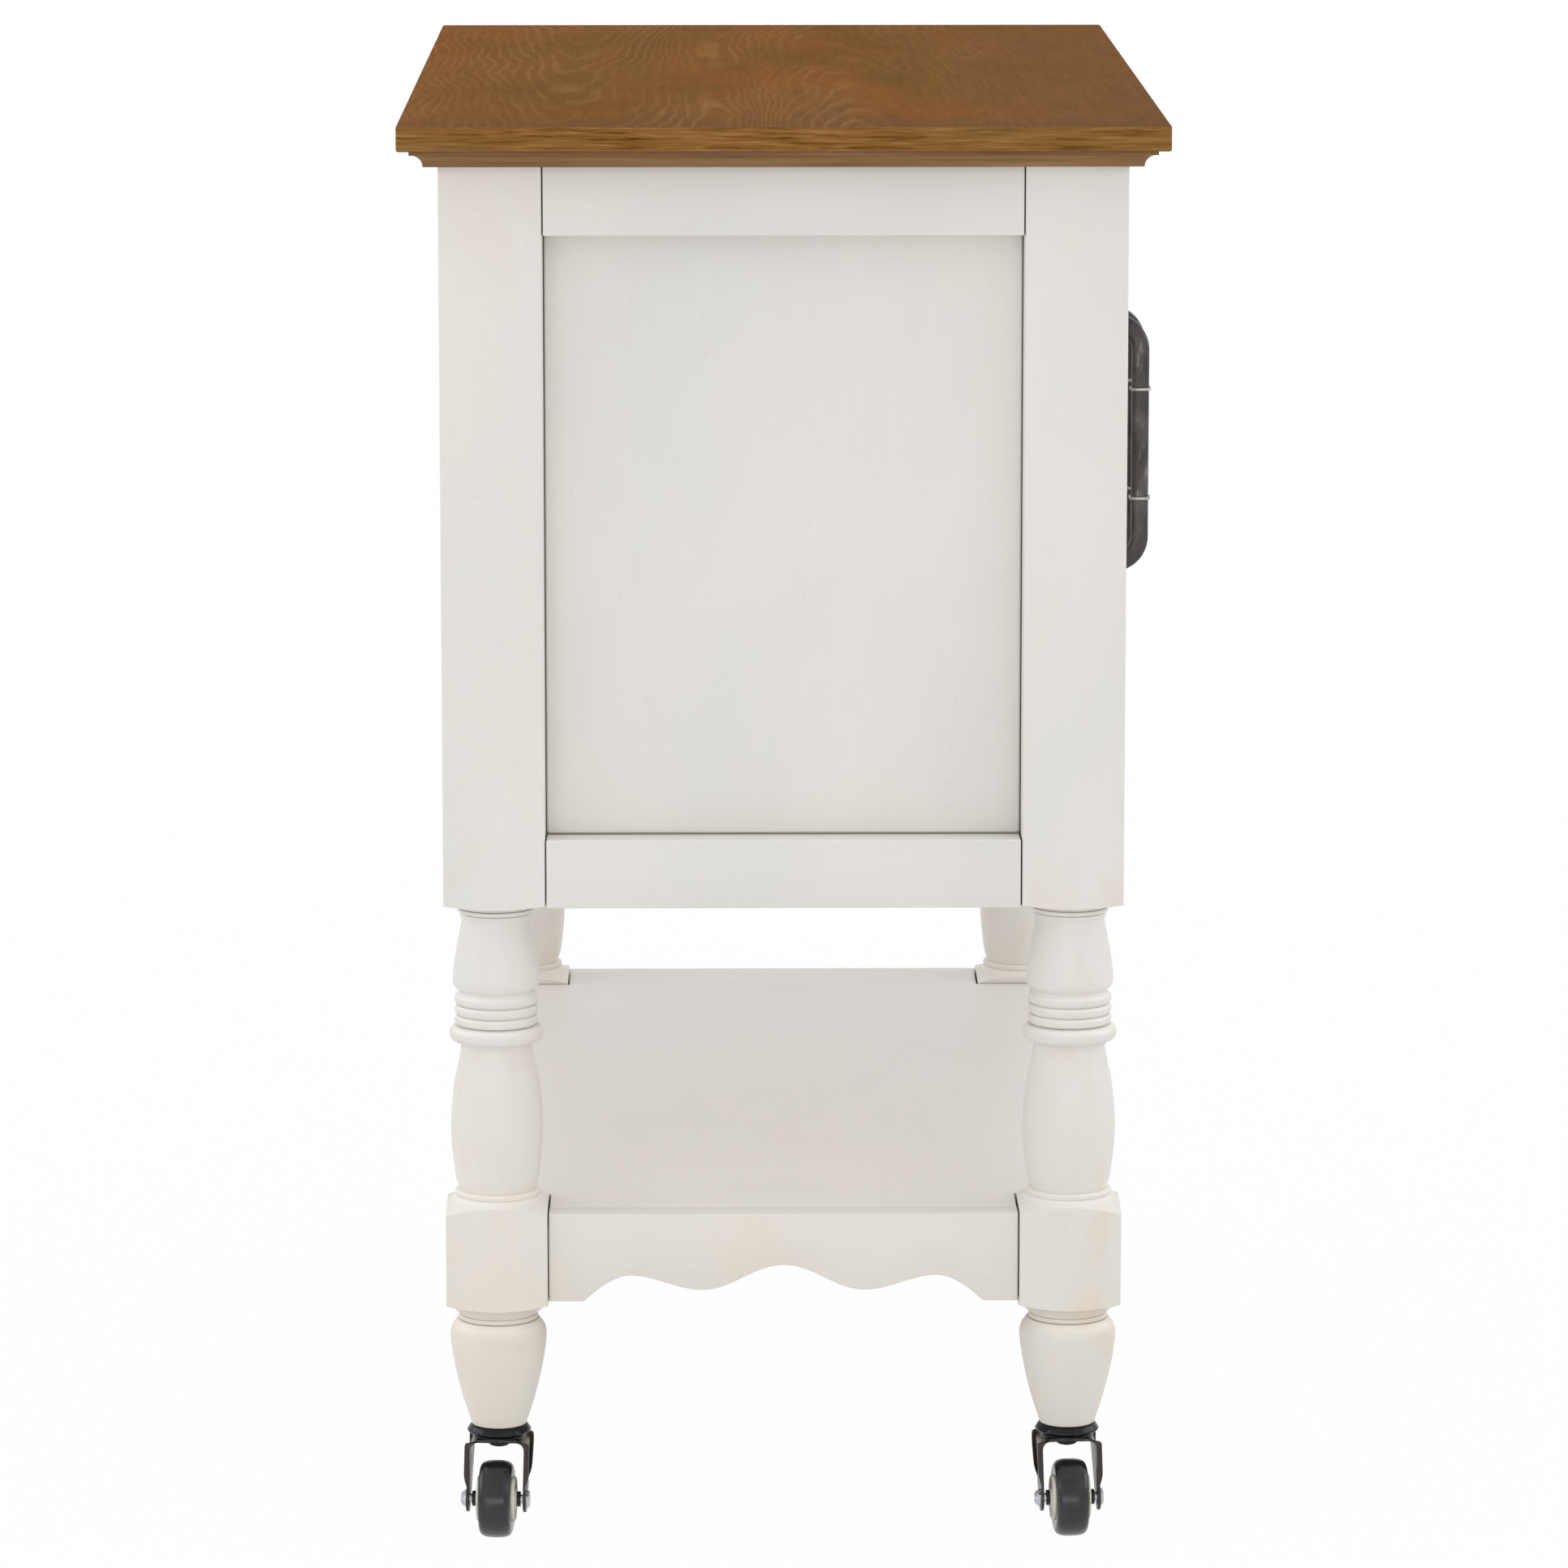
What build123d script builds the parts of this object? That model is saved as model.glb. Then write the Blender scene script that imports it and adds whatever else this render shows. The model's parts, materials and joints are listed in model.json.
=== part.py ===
from build123d import *
import math
import os

# Kitchen cart: oak worktop on a painted cabinet, turned legs, an open lower shelf and four swivel casters.
# Millimetres, +Z up, floor at z = 0. The doors face -Y and the long side runs along X.
# Every piece is drawn about the middle of the worktop, then moved so that the origin lies under the
# middle of the whole cart, pulls included.

# Overall sizes
cart_length = 864.0
cart_depth = 482.6
cart_height = 914.4

# Clearances
joint_gap = 0.5
panel_play = 0.1
running_play = 0.05
body_gap = 0.3
notch_gap = 1.0
door_gap = 2.0
catch_play = 0.6
wheel_headroom = 8.5

# How far a cutting shape runs past the face that it cuts, and how far it runs clear of a whole caster
past = 1.0
clear_run = 60.0

# Worktop and the moulded frame under it
worktop_thickness = 16.0
worktop_overhang = 25.0
worktop_corner_r = 2.5
worktop_ease = 1.0
moulding_setback = 7.7
moulding_lip = 2.8
cove_r = 7.9

# Legs
leg_side = 65.0
leg_arris = 1.2
case_bottom = 415.3
block_below_case = 1.3
shelf_height = 214.6
block_above_shelf = 4.6
block_height = 67.8
shoulder_fall = 4.2
case_shoulder_fall = 2.8
neck_r = 27.0
neck_rise = 5.8

# Turned outlines, each as (radius, share of its own stretch from the bottom up)
foot_vase = [(18.0, 0.0), (23.8, 0.27), (28.2, 0.54), (31.0, 0.82), (27.8, 1.0)]
baluster = [(24.4, 0.0), (27.3, 0.12), (29.7, 0.42), (28.0, 0.71), (24.6, 0.9), (22.9, 1.0)]
upper_vase = [(24.3, 0.0), (27.3, 0.07), (27.9, 0.17), (26.7, 0.42), (24.4, 0.7), (22.2, 0.94), (22.1, 1.0)]
crown_rings = [(22.9, 0.07), (22.8, 0.36), (24.2, 0.44), (24.5, 0.7)]
foot_ring = 6.4
foot_ring_r = 24.6
ring_slope = 1.0
base_ring_r = 27.0
base_ring_height = 4.0
base_ring_rise = 3.2
torus_height = 11.0
torus_r = 30.3
torus_seat_r = 25.4
bead_height = 6.8
bead_r = 26.8
bead_count = 3
groove_r = 23.9
groove_height = 2.4
upper_vase_height = 46.6
crown_height = 10.4

# Case joinery
rail_height = 44.0
rail_edge_r = 1.0
panel_thickness = 10.0
floor_thickness = 16.0
inner_shelf_thickness = 16.0
inner_shelf_setback = 36.0
cleat_side = 18.0
cleat_end_gap = 12.0

# Shelf pins and their holes
pin_r = 2.5
pin_reach = 9.0
pin_depth = 10.0
pin_collar_r = 4.0
pin_collar = 0.7
pin_inset = 13.0

# Lower shelf and aprons
shelf_thickness = 16.0
apron_thickness = 20.0
apron_setback = 6.0
apron_height = 57.4
apron_edge_r = 1.0

# Scallop of an end apron: (distance from the middle, rise above the flat ends), and where the flats start
scallop = [(0.0, 23.6), (52.0, 7.3), (99.0, 16.9)]
scallop_end = 128.0
scallop_swing = 0.45
scallop_drop_run = 0.4
scallop_drop_rise = 0.6
scallop_flat = 2.0

# Doors
door_thickness = 19.0
door_inset = 1.2
stile_width = 50.0
door_rail_width = 50.0
door_panel_thickness = 7.0
groove_depth = 6.0
door_edge_r = 1.0
door_panel_setback = 6.0

# Pulls
pull_height = 176.0
pull_projection = 37.0
pull_bar = 11.5
pull_width = 13.0
pull_bar_r = 3.0
pull_bend_r = 24.0
pull_middle = 664.0
band_spread = 74.6
band_height = 2.2
band_proud = 1.4
pull_screw_r = 2.0
pull_screw_head_r = 4.2
pull_screw_head = 2.4
pull_screw_bite = 10.0
head_chamfer = 0.4

# Pivots: pins in the front rails, turning in bushes let into the ends of the hanging stiles
pivot_r = 2.0
pivot_inset = 4.5
pivot_depth = 12.0
pivot_collar_r = 3.4
bush_r = 3.2

# Magnetic catch
catch_width = 60.0
catch_depth = 14.0
catch_height = 28.0
catch_overlap = 8.0
catch_edge_r = 1.5
strike_width = 20.0
strike_height = 13.0
strike_thickness = 1.2
strike_edge_gap = 8.0
strike_top_gap = 4.0
strike_corner_r = 2.0

# Casters
wheel_r = 25.0
tread_width = 21.0
tread_shoulder = 3.0
hub_width = 26.4
hub_r = 17.0
hub_flange_r = 14.5
hub_boss_r = 6.5
hub_boss_proud = 0.9
hub_seat_setback = 1.0
caster_trail = 20.0
fork_inside = 31.4
fork_sheet = 1.8
fork_top_sheet = 2.5
fork_flange = 3.4
flange_full = 17.0
flange_end = 6.0
fork_bend_r = 5.0
fork_length = 34.0
fork_skirt = 7.0
fork_ear_r = 8.5
raceway_r = 17.0
raceway_height = 3.1
cap_height = 6.0
cap_r = 20.7
cap_seat_r = 18.1
cap_under_r = 17.7
cap_brim_bottom = 1.6
cap_brim_top = 2.4
stem_r = 4.0
stem_depth = 35.0
rivet_r = 7.0
rivet_height = 2.8
axle_r = 3.0
hex_flats = 10.0
bolt_head = 4.0
nut_height = 5.0
bolt_past_nut = 0.6
spacer_r = 5.0

# How far each caster is turned about its stem, in degrees, with its wheel trailing towards -X
caster_turns = {
    "front_left": 4.0,
    "back_left": -4.0,
    "front_right": 7.0,
    "back_right": -6.0,
}

# Places worked out from the sizes above
half_length = cart_length / 2
half_depth = cart_depth / 2
face_x = half_length - worktop_overhang
face_y = half_depth - worktop_overhang
inner_x = face_x - leg_side
inner_y = face_y - leg_side
leg_x = face_x - leg_side / 2
leg_y = face_y - leg_side / 2
slab_bottom = cart_height - worktop_thickness
rail_thickness = door_inset + door_thickness + strike_thickness + catch_play
frame_width = worktop_overhang - moulding_setback + rail_thickness + panel_thickness + cleat_side
case_top = slab_bottom - moulding_lip - cove_r
opening_bottom = case_bottom + rail_height
opening_top = case_top - rail_height
rail_inner_x = face_x - rail_thickness
rail_inner_y = face_y - rail_thickness
panel_inner_x = rail_inner_x - panel_thickness
panel_inner_y = rail_inner_y - panel_thickness
shelf_half_x = face_x - apron_setback - apron_thickness
shelf_half_y = face_y - apron_setback - apron_thickness
apron_bottom = shelf_height - apron_height
door_front = -(face_y - door_inset)
door_back = door_front + door_thickness
pull_tip = -door_front + pull_projection + band_proud
body_y = (pull_tip - half_depth) / 2
pull_x = door_gap / 2 + stile_width / 2
pull_reach = pull_height / 2 - pull_bar / 2
pivot_x = inner_x - door_gap - pivot_inset
pivot_y = door_front + pivot_inset
fork_under = 2 * wheel_r + wheel_headroom
fork_top = fork_under + fork_top_sheet
raceway_top = fork_top + raceway_height
caster_height = raceway_top + body_gap + cap_height


def box_between(low, high):
    size = [b - a for a, b in zip(low, high)]
    middle = [(a + b) / 2 for a, b in zip(low, high)]
    return Pos(*middle) * Box(*size)


def eased(solid, axis, radius):
    return fillet(solid.edges().filter_by(axis), radius)


def upright(radius, bottom, top):
    return Pos(0, 0, bottom) * Cylinder(radius, top - bottom, align=(Align.CENTER, Align.CENTER, Align.MIN))


def along_x(radius, start, end):
    rod = Cylinder(radius, end - start, align=(Align.CENTER, Align.CENTER, Align.MIN))
    return Pos(start, 0, 0) * Rot(0, 90, 0) * rod


def along_y(radius, start, end):
    rod = Cylinder(radius, end - start, align=(Align.CENTER, Align.CENTER, Align.MIN))
    return Pos(0, start, 0) * Rot(-90, 0, 0) * rod


def save(name, *solids):
    placed = [Pos(0, body_y, 0) * solid for solid in solids]
    export_step(Compound(children=placed), f"parts/{name}.step")


def four_corners(x, y):
    return {
        "front_left": (-x, -y),
        "front_right": (x, -y),
        "back_left": (-x, y),
        "back_right": (x, y),
    }


# Worktop slab with rounded corners and eased edges
def worktop():
    slab = box_between((-half_length, -half_depth, slab_bottom), (half_length, half_depth, cart_height))
    slab = eased(slab, Axis.Z, worktop_corner_r)
    flats = slab.faces().filter_by(Axis.Z)
    return chamfer([edge for face in flats for edge in face.edges()], worktop_ease)


# One mitred side of the moulded frame, lying along X at the front edge of a frame with the given half sizes
def moulding_side(half_run, half_other):
    outer = half_other - moulding_setback
    inner = outer - frame_width
    lip_z = slab_bottom - moulding_lip
    outline = Polyline(
        (outer, lip_z), (outer, slab_bottom), (inner, slab_bottom), (inner, case_top),
        (outer - cove_r, case_top),
    )
    centre = Vector(outer, case_top)
    swing = cove_r / math.sqrt(2)
    cove = ThreePointArc(
        (outer - cove_r, case_top), (centre.X - swing, centre.Y + swing), (outer, lip_z)
    )
    section = make_face(outline + cove)
    reach = half_run - moulding_setback
    bar = Pos(reach, 0, 0) * extrude(Plane.YZ * section, -2 * reach)
    mitre = make_face(
        Polyline(
            (-reach, outer), (reach, outer), (reach - frame_width, inner), (-reach + frame_width, inner),
            close=True,
        )
    )
    return bar & Pos(0, 0, case_top) * extrude(mitre, slab_bottom - case_top)


def top_mouldings():
    long_side = moulding_side(half_length, half_depth)
    end_side = moulding_side(half_depth, half_length)
    return [Rot(0, 0, 180) * long_side, long_side, Rot(0, 0, 90) * end_side, Rot(0, 0, -90) * end_side]


# Turned leg: a square blank cut by the lathe into foot, lower block, baluster, beads, vase and upper block
def stretch(stations, bottom, top):
    return [(radius, bottom + share * (top - bottom)) for radius, share in stations]


def turned_outline():
    corner_r = leg_side / math.sqrt(2)
    low_bottom = shelf_height + block_above_shelf - block_height
    low_top = shelf_height + block_above_shelf
    up_bottom = case_bottom - block_below_case
    foot_top = low_bottom - neck_rise - foot_ring
    foot = stretch(foot_vase, caster_height, foot_top)
    ring_top = low_top + base_ring_rise + base_ring_height
    vase_top = up_bottom - crown_height
    vase_bottom = vase_top - upper_vase_height
    beads_top = vase_bottom - groove_height
    beads_bottom = beads_top - bead_count * bead_height
    torus_bottom = beads_bottom - torus_height
    long_vase = stretch(baluster, ring_top, torus_bottom)
    short_vase = stretch(upper_vase, vase_bottom, vase_top)
    crown = stretch(crown_rings, vase_top, up_bottom)
    half_face = leg_side / 2
    line = Line((0, caster_height), foot[0])
    line += Spline(*foot)
    line += Polyline(
        foot[-1],
        (foot_ring_r, foot_top + ring_slope),
        (neck_r, low_bottom - neck_rise),
        (half_face, low_bottom),
        (corner_r, low_bottom + shoulder_fall),
        (corner_r, low_top - shoulder_fall),
        (half_face, low_top),
        (base_ring_r, low_top + base_ring_rise),
        long_vase[0],
    )
    line += Spline(*long_vase)
    line += Line(long_vase[-1], (torus_seat_r, torus_bottom))
    torus_middle = (torus_bottom + beads_bottom) / 2
    line += ThreePointArc(
        (torus_seat_r, torus_bottom), (torus_r, torus_middle), (torus_seat_r, beads_bottom)
    )
    bead_ease = bead_r - torus_seat_r
    for bead in range(bead_count):
        low = beads_bottom + bead * bead_height
        high = low + bead_height
        line += Polyline(
            (torus_seat_r, low), (bead_r, low + bead_ease), (bead_r, high - bead_ease), (torus_seat_r, high)
        )
    line += Polyline((torus_seat_r, beads_top), (groove_r, beads_top + groove_height / 2), short_vase[0])
    line += Spline(*short_vase)
    line += Polyline(
        short_vase[-1],
        *crown,
        (half_face, up_bottom),
        (corner_r, up_bottom + case_shoulder_fall),
        (corner_r, case_top),
        (0, case_top),
        (0, caster_height),
    )
    return make_face(line)


def leg(x, y):
    half = leg_side / 2
    blank = box_between((-half, -half, caster_height), (half, half, case_top))
    blank = chamfer(blank.edges().filter_by(Axis.Z), leg_arris)
    turned = blank & revolve(Plane.XZ * turned_outline(), Axis.Z)
    turned -= upright(stem_r + running_play, caster_height - past, caster_height + stem_depth + past)
    post = Pos(x, y, 0) * turned
    inward = -math.copysign(1, x)
    hole = along_x(pin_r + running_play, -pin_depth - past, past)
    if x > 0:
        hole = Rot(0, 0, 180) * hole
    return post - Pos(*pin_place(x, y)) * hole


# Where the shelf pin enters the inner face of the leg at x, y
def pin_place(x, y):
    middle_z = (opening_bottom + opening_top) / 2
    return (math.copysign(inner_x, x), math.copysign(inner_y + pin_inset, y), middle_z)


def shelf_pins():
    pins = []
    for x, y in four_corners(leg_x, leg_y).values():
        pin = along_x(pin_r, -pin_depth, pin_reach) + along_x(pin_collar_r, 0, pin_collar)
        if x > 0:
            pin = Rot(0, 0, 180) * pin
        pins.append(Pos(*pin_place(x, y)) * pin)
    return pins


# Rails of one end, one side, the front or the back, drawn for the -X end and the front
def end_rails():
    reach = inner_y - joint_gap
    rails = []
    for bottom in (case_bottom, case_top - rail_height):
        rail = box_between((-face_x, -reach, bottom), (-rail_inner_x, reach, bottom + rail_height))
        rails.append(eased(rail, Axis.Y, rail_edge_r))
    return rails


def end_panel():
    return box_between((-rail_inner_x, -inner_y, case_bottom), (-panel_inner_x, inner_y, case_top))


def front_rails():
    reach = inner_x - joint_gap
    rails = []
    for bottom in (case_bottom, case_top - rail_height):
        rail = box_between((-reach, -face_y, bottom), (reach, -rail_inner_y, bottom + rail_height))
        rails.append(eased(rail, Axis.X, rail_edge_r))
    return rails


def drilled_for_pivots(rails):
    holes = at_pivots(upright(pivot_r + running_play, -pivot_depth - past, past))
    for hole in holes + [hole.mirror(Plane.YZ) for hole in holes]:
        rails = [rail - hole for rail in rails]
    return rails


def back_panel():
    return box_between((-inner_x, panel_inner_y, case_bottom), (inner_x, rail_inner_y, case_top))


# A board cut round the four square leg blocks
def notched_board(half_x, front_y, back_y, bottom, thickness, gap):
    board = box_between((-half_x, front_y, bottom), (half_x, back_y, bottom + thickness))
    clear = leg_side / 2 + gap
    low, high = bottom - past, bottom + thickness + past
    for x, y in four_corners(leg_x, leg_y).values():
        board -= box_between((x - clear, y - clear, low), (x + clear, y + clear, high))
    return board


def cabinet_floor():
    bottom = opening_bottom - floor_thickness
    return notched_board(
        panel_inner_x, -rail_inner_y, panel_inner_y, bottom, floor_thickness, joint_gap
    )


def cabinet_shelf():
    top = (opening_bottom + opening_top) / 2 + pin_r + inner_shelf_thickness
    shelf = box_between(
        (-inner_x + notch_gap, -face_y + inner_shelf_setback, top - inner_shelf_thickness),
        (inner_x - notch_gap, panel_inner_y - notch_gap, top),
    )
    return fillet(shelf.faces().sort_by(Axis.Y)[0].edges().filter_by(Axis.X), rail_edge_r)


def lower_shelf():
    return notched_board(
        shelf_half_x, -shelf_half_y, shelf_half_y, shelf_height - shelf_thickness, shelf_thickness, notch_gap
    )


# Apron with a scalloped lower edge, drawn standing along X with its outer face at y = 0
def apron(half_run, widen):
    reach = half_run - joint_gap
    flat = min(scallop_end * widen, reach - scallop_flat)
    crests = [(place * widen, rise) for place, rise in scallop]
    outline = Polyline(
        (flat, 0), (reach, 0), (reach, apron_height), (-reach, apron_height), (-reach, 0), (-flat, 0)
    )
    last = crests[-1]
    run = flat - last[0]
    for side in (1, -1):
        outline += Bezier(
            (side * flat, 0),
            (side * (flat - run * scallop_drop_run), last[1] * scallop_drop_rise),
            (side * (last[0] + run * scallop_swing), last[1]),
            (side * last[0], last[1]),
        )
        for near, far in zip(crests, crests[1:]):
            swing = (far[0] - near[0]) * scallop_swing
            outline += Bezier(
                (side * near[0], near[1]),
                (side * (near[0] + swing), near[1]),
                (side * (far[0] - swing), far[1]),
                (side * far[0], far[1]),
            )
    board = Pos(0, apron_thickness, apron_bottom) * extrude(Plane.XZ * make_face(outline), apron_thickness)
    tops = board.edges().filter_by(Axis.X).group_by(Axis.Z)[-1]
    return fillet(tops, apron_edge_r)


def aprons():
    end = apron(inner_y, 1.0)
    side = apron(inner_x, inner_x / inner_y)
    return {
        "apron_front": Pos(0, -face_y + apron_setback, 0) * side,
        "apron_back": Rot(0, 0, 180) * Pos(0, -face_y + apron_setback, 0) * side,
        "apron_left": Rot(0, 0, -90) * Pos(0, -face_x + apron_setback, 0) * end,
        "apron_right": Rot(0, 0, 90) * Pos(0, -face_x + apron_setback, 0) * end,
    }


# Square cleats: under the lower shelf, under the cabinet floor and under the moulded frame
def cleat(front_y, bottom):
    reach = inner_x - cleat_end_gap
    return box_between((-reach, front_y, bottom), (reach, front_y + cleat_side, bottom + cleat_side))


def shelf_cleats():
    low = shelf_height - shelf_thickness - cleat_side
    high = opening_bottom - floor_thickness - cleat_side
    return [
        cleat(-shelf_half_y, low),
        cleat(shelf_half_y - cleat_side, low),
        cleat(-rail_inner_y, high),
        cleat(panel_inner_y - cleat_side, high),
    ]


def worktop_cleats():
    bottom = case_top - cleat_side
    return [cleat(-rail_inner_y, bottom), cleat(panel_inner_y - cleat_side, bottom)]


# Round-headed screw standing on z = 0, its head below
def pan_screw(shank_r, head_r, head, length):
    knob = upright(head_r, -head, 0)
    knob = chamfer(knob.edges().group_by(Axis.Z)[0], head * head_chamfer)
    return knob + upright(shank_r, 0, length)


# Left door, hung on the -X side; the right door is its mirror image
def door_frame_boards():
    left = -inner_x + door_gap
    right = -door_gap / 2
    bottom = opening_bottom + door_gap
    top = opening_top - door_gap
    groove_front = door_front + door_panel_setback - panel_play
    groove_back = groove_front + door_panel_thickness + 2 * panel_play
    tongue_front = groove_front + panel_play
    tongue_back = groove_back - panel_play
    stiles = []
    for low_x in (left, right - stile_width):
        stile = box_between((low_x, door_front, bottom), (low_x + stile_width, door_back, top))
        stiles.append(eased(stile, Axis.Z, door_edge_r))
    inner_left = left + stile_width
    inner_right = right - stile_width
    tongue = groove_depth - panel_play
    groove = box_between(
        (inner_left - groove_depth, groove_front, bottom - past),
        (inner_right + groove_depth, groove_back, top + past),
    )
    stiles = [stile - groove for stile in stiles]
    inner_bottom = bottom + door_rail_width
    inner_top = top - door_rail_width
    trench = box_between(
        (inner_left - groove_depth - past, groove_front, inner_bottom - groove_depth),
        (inner_right + groove_depth + past, groove_back, inner_top + groove_depth),
    )
    rails = []
    for low_z in (bottom, inner_top):
        rail = box_between((inner_left, door_front, low_z), (inner_right, door_back, low_z + door_rail_width))
        rail = eased(rail, Axis.X, door_edge_r)
        rail += box_between(
            (inner_left - tongue, tongue_front, low_z),
            (inner_right + tongue, tongue_back, low_z + door_rail_width),
        )
        rails.append(rail - trench)
    panel = box_between(
        (inner_left - tongue, tongue_front, inner_bottom - tongue),
        (inner_right + tongue, tongue_back, inner_top + tongue),
    )
    holes = at_pivots(upright(bush_r + panel_play, door_gap - past, door_gap + pivot_depth + past))
    drilled = along_y(pull_screw_r + running_play, door_front - past, door_back + past)
    for place in pull_screw_heights():
        holes.append(Pos(-pull_x, 0, place) * drilled)
    for hole in holes:
        stiles = [stile - hole for stile in stiles]
    return stiles, rails, panel


def pull_screw_heights():
    return (pull_middle - pull_reach, pull_middle + pull_reach)


# Bow pull of rounded bar, with a raised band near each end of its straight
def pull():
    out = pull_projection - pull_bar / 2
    path = FilletPolyline(
        (-pull_x, door_front, pull_middle + pull_reach),
        (-pull_x, door_front - out, pull_middle + pull_reach),
        (-pull_x, door_front - out, pull_middle - pull_reach),
        (-pull_x, door_front, pull_middle - pull_reach),
        radius=pull_bend_r - pull_bar / 2,
    )
    start = Plane(path @ 0, x_dir=(1, 0, 0), z_dir=(0, -1, 0))
    bow = sweep(start * RectangleRounded(pull_width, pull_bar, pull_bar_r), path=path)
    for place in pull_screw_heights():
        tapped = along_y(pull_screw_r + running_play, door_front - pull_screw_bite - past, door_front + past)
        bow -= Pos(-pull_x, 0, place) * tapped
    return bow


def pull_bands():
    outer = RectangleRounded(
        pull_width + 2 * band_proud, pull_bar + 2 * band_proud, pull_bar_r + band_proud
    )
    ring = outer - RectangleRounded(pull_width, pull_bar, pull_bar_r)
    out_y = door_front - pull_projection + pull_bar / 2
    bands = []
    for side in (-1, 1):
        middle = pull_middle + side * band_spread / 2
        bands.append(Pos(-pull_x, out_y, middle - band_height / 2) * extrude(ring, band_height))
    return bands


def pull_screws():
    screw = pan_screw(pull_screw_r, pull_screw_head_r, pull_screw_head, door_thickness + pull_screw_bite)
    screw = Rot(90, 0, 0) * screw
    return [Pos(-pull_x, door_back, place) * screw for place in pull_screw_heights()]


# Solids drawn standing on the lower pivot's rail, then turned over for the upper one; both on the -X side
def at_pivots(solid):
    middle = (opening_bottom + opening_top) / 2
    lower = Pos(-pivot_x, pivot_y, opening_bottom) * solid
    return [lower, lower.mirror(Plane.XY.offset(middle))]


def door_pivots():
    pin = upright(pivot_r, -pivot_depth, door_gap + pivot_depth)
    return at_pivots(pin + upright(pivot_collar_r, 0, door_gap - body_gap))


def door_bushes():
    tube = upright(bush_r, door_gap, door_gap + pivot_depth)
    return at_pivots(tube - upright(pivot_r + running_play, 0, door_gap + pivot_depth + past))


# Double magnetic catch on the back of the front top rail, and the strike on the door
def door_catch():
    bottom = opening_top + catch_overlap - catch_height
    body = box_between(
        (-catch_width / 2, -rail_inner_y, bottom),
        (catch_width / 2, -rail_inner_y + catch_depth, bottom + catch_height),
    )
    return eased(body, Axis.X, catch_edge_r)


def strike():
    right = -door_gap / 2 - strike_edge_gap
    top = opening_top - door_gap - strike_top_gap
    plate = box_between(
        (right - strike_width, door_back, top - strike_height), (right, door_back + strike_thickness, top)
    )
    return eased(plate, Axis.Y, strike_corner_r)


# Caster pieces, drawn about the stem with the wheel trailing towards -X
def caster_stem():
    low = caster_height - cap_height
    outline = Polyline(
        (0, low), (cap_under_r, low), (cap_r, low + cap_brim_bottom), (cap_r, low + cap_brim_top),
        (cap_seat_r, caster_height), (0, caster_height), close=True,
    )
    cap = revolve(Plane.XZ * make_face(outline), Axis.Z)
    rivet_top = fork_under - body_gap
    rivet = upright(rivet_r, rivet_top - rivet_height, rivet_top)
    rivet = chamfer(rivet.edges().group_by(Axis.Z)[0], rivet_height * head_chamfer)
    return cap + rivet + upright(stem_r, rivet_top - rivet_height, caster_height + stem_depth)


# Fork pressed from sheet: an arch over the wheel, its arms flanged along both edges down to near the axle
def caster_fork():
    half_out = fork_inside / 2 + fork_sheet
    half_in = fork_inside / 2
    flange_out = half_out + fork_flange
    low = wheel_r - fork_ear_r
    head = Pos(0, fork_top - fork_skirt / 2) * Rectangle(fork_length, fork_skirt)
    ear = Pos(-caster_trail, wheel_r) * Circle(fork_ear_r)
    side = make_hull(head.edges() + ear.edges())
    arms = Pos(0, flange_out, 0) * extrude(Plane.XZ * side, 2 * flange_out)
    hollow = extrude(Plane.XZ * offset(side, -fork_sheet), 2 * (flange_out + past))
    hollow = Pos(0, flange_out + past, 0) * hollow
    arch = rounded_arch(half_out, low - past, fork_top, fork_bend_r)
    tunnel = rounded_arch(half_in, low - 2 * past, fork_under, fork_bend_r - fork_top_sheet)
    root = half_out - past
    flare = Polyline(
        (root, wheel_r + flange_end), (half_out, wheel_r + flange_end), (flange_out, wheel_r + flange_full),
        (flange_out, fork_top), (root, fork_top), close=True,
    )
    flare = Pos(-clear_run, 0, 0) * extrude(Plane.YZ * make_face(flare), 2 * clear_run)
    flanges = (arms - hollow) & (flare + flare.mirror(Plane.XZ))
    fork = (arms & (arch - tunnel)) + (flanges - tunnel)
    fork += upright(raceway_r, fork_top, raceway_top)
    fork -= upright(stem_r + running_play, fork_under - past, raceway_top + past)
    return fork - Pos(-caster_trail, 0, wheel_r) * along_y(axle_r + running_play, -clear_run, clear_run)


# Block along X with its two upper long edges rounded
def rounded_arch(half_width, bottom, top, radius):
    arch = box_between((-clear_run, -half_width, bottom), (clear_run, half_width, top))
    return fillet(arch.edges().filter_by(Axis.X).group_by(Axis.Z)[-1], radius)


def hexagon(start, end):
    shape = extrude(RegularPolygon(hex_flats / 2, 6, major_radius=False), end - start)
    return Pos(0, start, 0) * Rot(-90, 0, 0) * shape


def caster_axle():
    half_out = fork_inside / 2 + fork_sheet
    nut_end = half_out + nut_height
    bolt = hexagon(-half_out - bolt_head, -half_out) + along_y(axle_r, -half_out, nut_end + bolt_past_nut)
    nut = hexagon(half_out, nut_end) - along_y(axle_r, half_out - past, nut_end + past)
    spacer_end = hub_width / 2 + body_gap
    pieces = [bolt, nut]
    for start, end in ((-fork_inside / 2, -spacer_end), (spacer_end, fork_inside / 2)):
        bore = along_y(axle_r + running_play, start - past, end + past)
        pieces.append(along_y(spacer_r, start, end) - bore)
    return [Pos(-caster_trail, 0, wheel_r) * piece for piece in pieces]


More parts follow.
